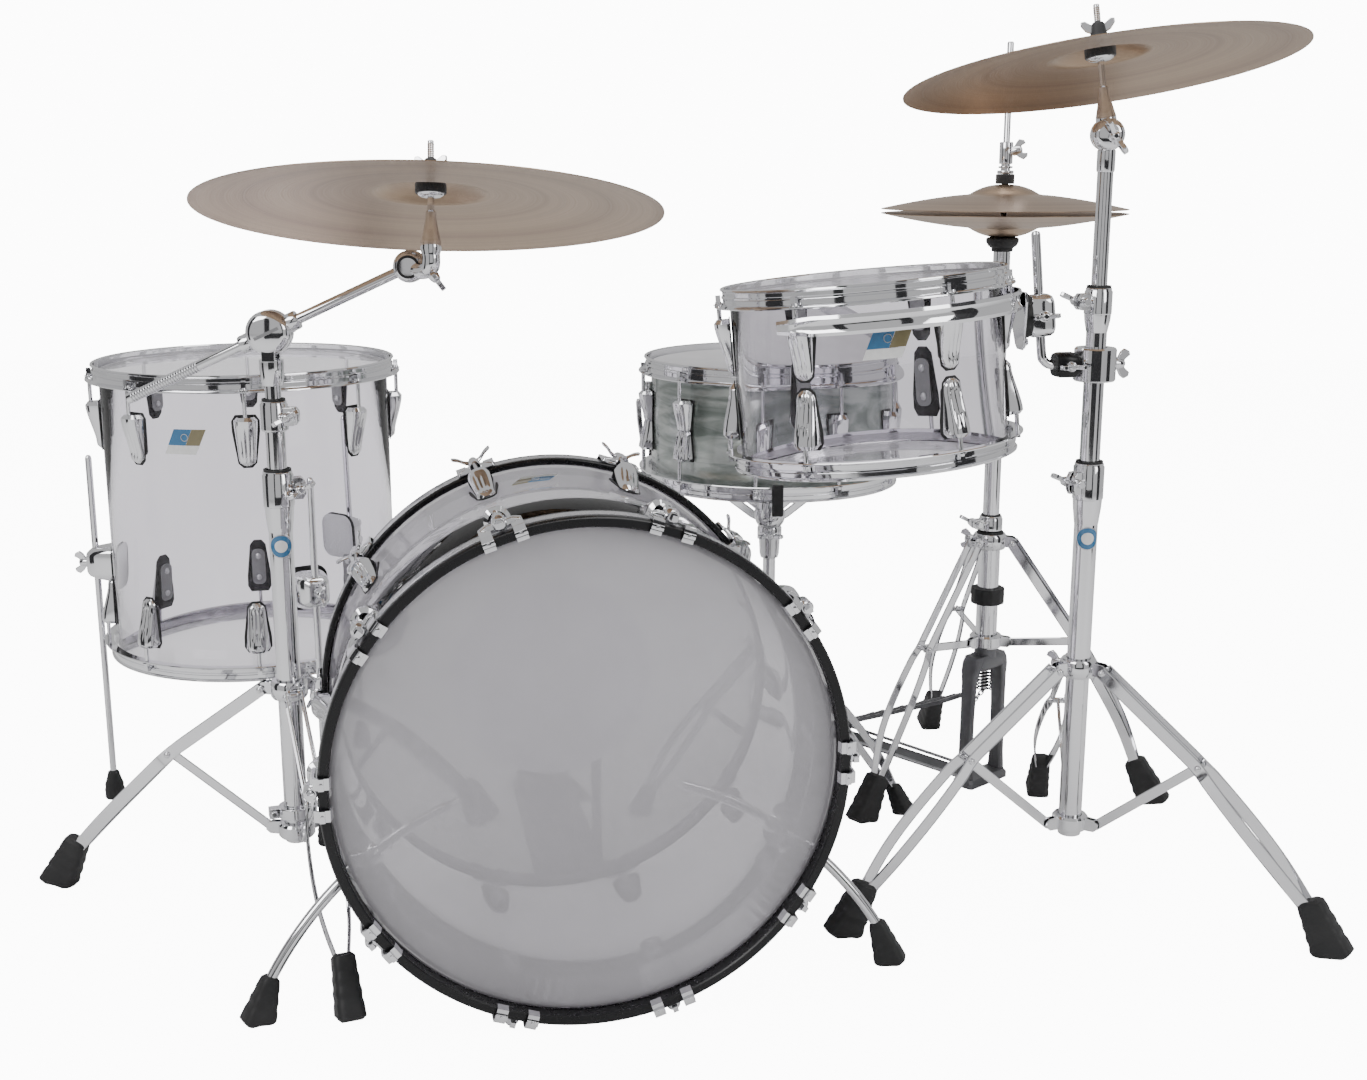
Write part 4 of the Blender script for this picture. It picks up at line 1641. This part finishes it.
# %% Basket pieces
UNDER = SNARE @ at(0, 0, SNARE_BOTTOM - 0.0117)  # under the lower hoop
hub = spun([(0, -0.064), (0.014, -0.064), (0.019, -0.06), (0.0205, -0.054), (0.0205, -0.036), (0.0185, -0.03),
            (0, -0.03)], 40)
piece("basket_hub", hub, chrome, "snare_drum", UNDER, replaces=["snare_basket"])
squeeze = spun([(0, -0.03), (0.0075, -0.03), (0.0075, -0.022), (0.014, -0.021), (0.015, -0.018),
                (0.014, -0.015), (0, -0.014)], 32)
piece("basket_nut", squeeze, chrome, "snare_drum", UNDER)
arm_path = [(0.012, -0.044), (0.03, -0.033), (0.058, -0.0125), (0.072, -0.0085), (0.11, -0.0075),
            (0.203, -0.0075)]
grip = [(0.2005, -0.0135), (0.2095, -0.0135), (0.2102, -0.004), (0.2094, 0.012), (0.2088, 0.028),
        (0.207, 0.0305), (0.201, 0.029), (0.2004, 0.023), (0.204, 0.017), (0.2036, 0.003), (0.199, -0.001),
        (0.1985, -0.0125)]
for label, a in zip("abc", (30, 150, 270)):
    arm_place = UNDER @ turn(radians(a))
    pair = [flat_bar(arm_path, 0.016, 0.0026, lambda t, side=side: side * 0.0042) for side in (-1, 1)]
    piece(f"basket_arm_{label}", joined(*pair), chrome, "snare_drum", arm_place)
    link = flat_bar([(0.012, -0.062), (0.03, -0.056), (0.105, -0.014)], 0.013, 0.0034, lambda t: 0.0)
    piece(f"basket_link_{label}", link, chrome, "snare_drum", arm_place)
    piece(f"basket_grip_{label}", plate(grip, 0.0155), rubber, "snare_drum", arm_place, soften=0.0015)
piece("basket_joint", joint_disc(0.023, 0.015), chrome, "snare_drum", UNDER @ at(0, 0, -0.054))
piece("basket_wing", wing(0.04), chrome, "snare_upper", SNARE_FLOOR @ at(0, -0.0135, 0.405) @ TO_FRONT,
      soften=0.001)
print("basket done")

# %% [markdown]
# ## Hi-hat
#
# The hi-hat's frame is a dark casting: a foot, two posts and a shoulder that carries the tube. The pull rod
# runs down the middle to a chain on the footboard. On top, a seat cup holds the lower cymbal, and the clutch
# grips the rod and the upper one. A turning ring low on the tube, with a black grip, sets the spring.

# %% The hi-hat's frame
HAT_SIDE = HAT @ turn(radians(133))
foot_block = block(((0.0003, 0.038, 0.094), (0.009, 0.038, 0.094), (0.0138, 0.032, 0.088)), 0.006, "z")
piece("hat_frame_foot", foot_block, casting, "frame", HAT_SIDE, replaces=["hihat_frame"])
for label, side in (("left", -1), ("right", 1)):
    post_sections = []
    for z, y, wide, deep in (
            (0.004, 0.0395, 0.026, 0.015), (0.04, 0.04, 0.022, 0.012), (0.12, 0.0385, 0.022, 0.012),
            (0.17, 0.037, 0.024, 0.013), (0.188, 0.0345, 0.028, 0.016), (0.2, 0.03, 0.03, 0.018),
            (0.2095, 0.024, 0.028, 0.02)):
        post_sections.append([(px, side * y + py, z) for px, py in rounded(wide, deep, 0.004, 4)])
    piece(f"hat_frame_post_{label}", skin(post_sections), casting, "frame", HAT_SIDE)
shoulder = block(((0.1865, 0.024, 0.06), (0.19, 0.03, 0.068), (0.204, 0.032, 0.062), (0.21, 0.028, 0.044)),
                 0.008, "z")
piece("hat_frame_shoulder", shoulder, casting, "frame", HAT_SIDE)
neck = spun([(0.0133, 0.205), (0.0175, 0.205), (0.017, 0.209), (0.0166, 0.221), (0.0133, 0.221)], 40)
piece("hat_frame_neck", neck, casting, "frame", HAT)
tongue = brick((0.006, -0.0195, 0.0008), (0.314, 0.0195, 0.0044))
piece("hat_tongue", tongue, casting, "frame", HAT_SIDE, soften=0.0008)
for label, y in (("left", -0.024), ("right", 0.024)):
    runner = rod([(0.01, y, 0.006), (0.3, y, 0.0095)], 0.0026, 10)
    piece(f"hat_runner_{label}", runner, satin_steel, "frame", HAT_SIDE)
piece("hat_heel", brick((0.29, -0.03, 0.0046), (0.32, 0.03, 0.0165)), casting, "frame", HAT_SIDE, soften=0.003)
board_place = HAT_SIDE @ at(0.295, 0, 0.0205) @ turn(-pi / 2) @ turn(-atan2(0.112, 0.26), "X")
piece("hat_board", ribbed_board(0.268, 0.036, 0.03), casting, "hat_footboard", board_place, soften=0.0006,
      replaces=["hihat_footboard"])
print("hi-hat frame done")

# %% The hi-hat's rod, chain and spring
pull = [(0, 0.15), (0.004, 0.15), (0.0048, 0.152), (0.0048, 1.118), (0.0036, 1.12), (0, 1.12)]
piece("hat_pull_rod", spun(pull, 24), chrome, "hat_rod", HAT, replaces=["hihat_rod"])
chain("hat_chain", HAT @ Vector((0, 0, 0.15)), HAT_SIDE @ Vector((0.02, 0, 0.124)), "hat_rod")
TURNS, COIL_STEPS = 7, 112
coil = []
for i in range(COIL_STEPS + 1):
    a = 2 * pi * TURNS * i / COIL_STEPS
    coil.append((0.0105 * cos(a), 0.0105 * sin(a), 0.15 + 0.036 * a / (2 * pi * TURNS)))
piece("hat_spring", rod(coil, 0.0012, 6), rubber, "frame", HAT)
grip_ring = []
for k in range(48):
    a = 2 * pi * k / 48
    out = 0.025 if k % 4 < 2 else 0.024
    section = ((0.0166, 0.291), (out, 0.291), (out + 0.0008, 0.294), (out + 0.0008, 0.312), (out, 0.315),
               (0.0166, 0.315))
    grip_ring.append([(r * cos(a), r * sin(a), z) for r, z in section])
piece("hat_spring_ring", skin(grip_ring, closed=True), rubber, "frame", HAT)
top_ring = spun([(0.0164, 0.378), (0.0205, 0.378), (0.0212, 0.382), (0.0212, 0.398), (0.0196, 0.404),
                 (0.0128, 0.404), (0.0128, 0.398), (0.0164, 0.394)], 40)
piece("hat_tube_ring", top_ring, rubber, "frame", HAT)
cast_clamp("hat_clamp", HAT, "frame", 0.0128, 0.018, 0.404, 0.428, 200, 0.002)
print("hi-hat rod done")

# %% The hi-hat's seat and clutch
seat_cup = spun([(0.0056, 0.824), (0.015, 0.824), (0.0158, 0.8265), (0.0158, 0.829), (0.0205, 0.832),
                 (0.0238, 0.8375), (0.024, 0.8425), (0.0215, 0.8445), (0.0056, 0.8445)], 40)
piece("hat_seat", seat_cup, rubber, "frame", HAT)
CLUTCH = HAT @ at(0, 0, HAT_TOP)
clutch_felt = spun([(0.0052, 0.002), (0.0128, 0.002), (0.0136, 0.0032), (0.0136, 0.015), (0.0126, 0.0162),
                    (0.0052, 0.0162)], 36)
piece("clutch_felt", clutch_felt, felt, "hat_rod", CLUTCH)
clutch = [(0.0049, 0.0164), (0.0112, 0.0164), (0.012, 0.0176), (0.012, 0.02), (0.0112, 0.0212), (0.007, 0.0214),
          (0.0068, 0.024), (0.01, 0.0244), (0.0104, 0.0256), (0.01, 0.0272), (0.0066, 0.0276), (0.0066, 0.03),
          (0.0094, 0.0305), (0.0098, 0.032), (0.0098, 0.06), (0.009, 0.0615), (0.0049, 0.0615)]
piece("clutch_body", spun(clutch, 32), chrome, "hat_rod", CLUTCH)
wing_way = CLUTCH @ turn(radians(-25)) @ at(0.0096, 0, 0.048) @ turn(radians(76), "Y")
boss = spun([(0, -0.004), (0.005, -0.004), (0.005, 0.004), (0, 0.004)], 16)
piece("clutch_wing", joined(wing(0.03), boss), chrome, "hat_rod", wing_way, soften=0.0008)
print("hi-hat done")

# %% [markdown]
# ## The room
#
# Only the metal sees them.

# %% A floor and a sky that glow


def blend(tree, factor, low, high):
    """A value that goes from low to high with the factor."""
    node = tree.nodes.new("ShaderNodeMix")
    tree.links.new(factor, node.inputs[0])
    for socket, value in zip((node.inputs[2], node.inputs[3]), (low, high)):
        if isinstance(value, float):
            socket.default_value = value
        else:
            tree.links.new(value, socket)
    return node.outputs[0]


def glowing(tree, strength, bare, behind, mirrored):
    """Glow with a strength for the bare eye, one behind clear walls, and one for all other rays."""
    rays = tree.nodes.new("ShaderNodeLightPath").outputs
    seen = maths(tree, "MAXIMUM", rays["Is Transmission Ray"], rays["Is Camera Ray"])
    first_hit = maths(tree, "LESS_THAN", rays["Transparent Depth"], 0.5)
    straight = maths(tree, "MULTIPLY", rays["Is Camera Ray"], first_hit)
    tree.links.new(blend(tree, straight, blend(tree, seen, mirrored, behind), bare), strength)


def staged(name, data):
    """Puts an object of the stage in the scene."""
    made = in_scene(name, data)
    return made


ground = bpy.data.meshes.new("floor")
ground.from_pydata([(-6, -6, 0), (6, -6, 0), (6, 6, 0), (-6, 6, 0)], [], [(0, 1, 2, 3)])
pale = finish("pale_floor", (0.8, 0.8, 0.8), 0.7)
pale_shader = pale.node_tree.nodes["Principled BSDF"]
pale_shader.inputs["Emission Color"].default_value = (1, 1, 1, 1)
glowing(pale.node_tree, pale_shader.inputs["Emission Strength"], 11.0, 0.55, 0.0)
ground.materials.append(pale)
staged("floor", ground)

world = bpy.data.worlds.new("room")
world.use_nodes = True
sky = world.node_tree.nodes["Background"]
sky.inputs["Color"].default_value = (1, 1, 1, 1)
glowing(world.node_tree, sky.inputs["Strength"], 12.0, 0.95, 0.55)
bpy.context.scene.world = world
print("floor and sky done")

# %% Lights, flags and camera


def aim(made, place, target):
    made.location = place
    made.rotation_euler = (Vector(target) - Vector(place)).to_track_quat("-Z", "Y").to_euler()


for name, place, target, size, power in (
        ("key", (-2.4, -2.6, 3.0), (0, 0, 0.4), (2.4, 1.6), 70),
        ("fill", (2.8, -2.0, 2.2), (0, 0, 0.5), (1.8, 1.8), 40),
        ("top", (0, 0.2, 3.4), (0, 0, 0), (3.0, 2.0), 60)):
    light = bpy.data.lights.new(name, "AREA")
    light.shape, light.size, light.size_y, light.energy = "RECTANGLE", *size, power
    aim(staged(name, light), place, target)

for name, place, target, (wide, tall) in (
        ("flag_left", (-2.2, -0.6, 1.0), (0, 0, 0.5), (0.8, 2.4)),
        ("flag_right", (2.2, -0.9, 1.0), (0, 0, 0.5), (0.8, 2.4)),
        ("flag_near_left", (-1.1, -3.1, 1.0), (0, 0, 0.5), (0.45, 2.6)),
        ("flag_near_right", (1.4, -2.9, 1.0), (0, 0, 0.5), (0.45, 2.6)),
        ("flag_front", (0, -3.4, 0.25), (0, 0, 0.4), (3.0, 0.5))):
    mesh = as_mesh(name, brick((-wide / 2, -tall / 2, -0.002), (wide / 2, tall / 2, 0.002)))
    mesh.materials.append(finish(f"{name}_cloth", (0.02, 0.02, 0.022), 0.9))
    screen = staged(name, mesh)
    aim(screen, place, target)
    screen.visible_camera = screen.visible_diffuse = False
    screen.visible_shadow = screen.visible_transmission = False

lens = bpy.data.cameras.new("camera")
lens.lens, lens.sensor_width = 43.506, 36
camera = staged("camera", lens)
camera.location = (0.0298, -2.1964, 0.9487)
camera.rotation_euler = (radians(77.19), 0, 0)
bpy.context.scene.camera = camera
print("lights, flags and camera done")
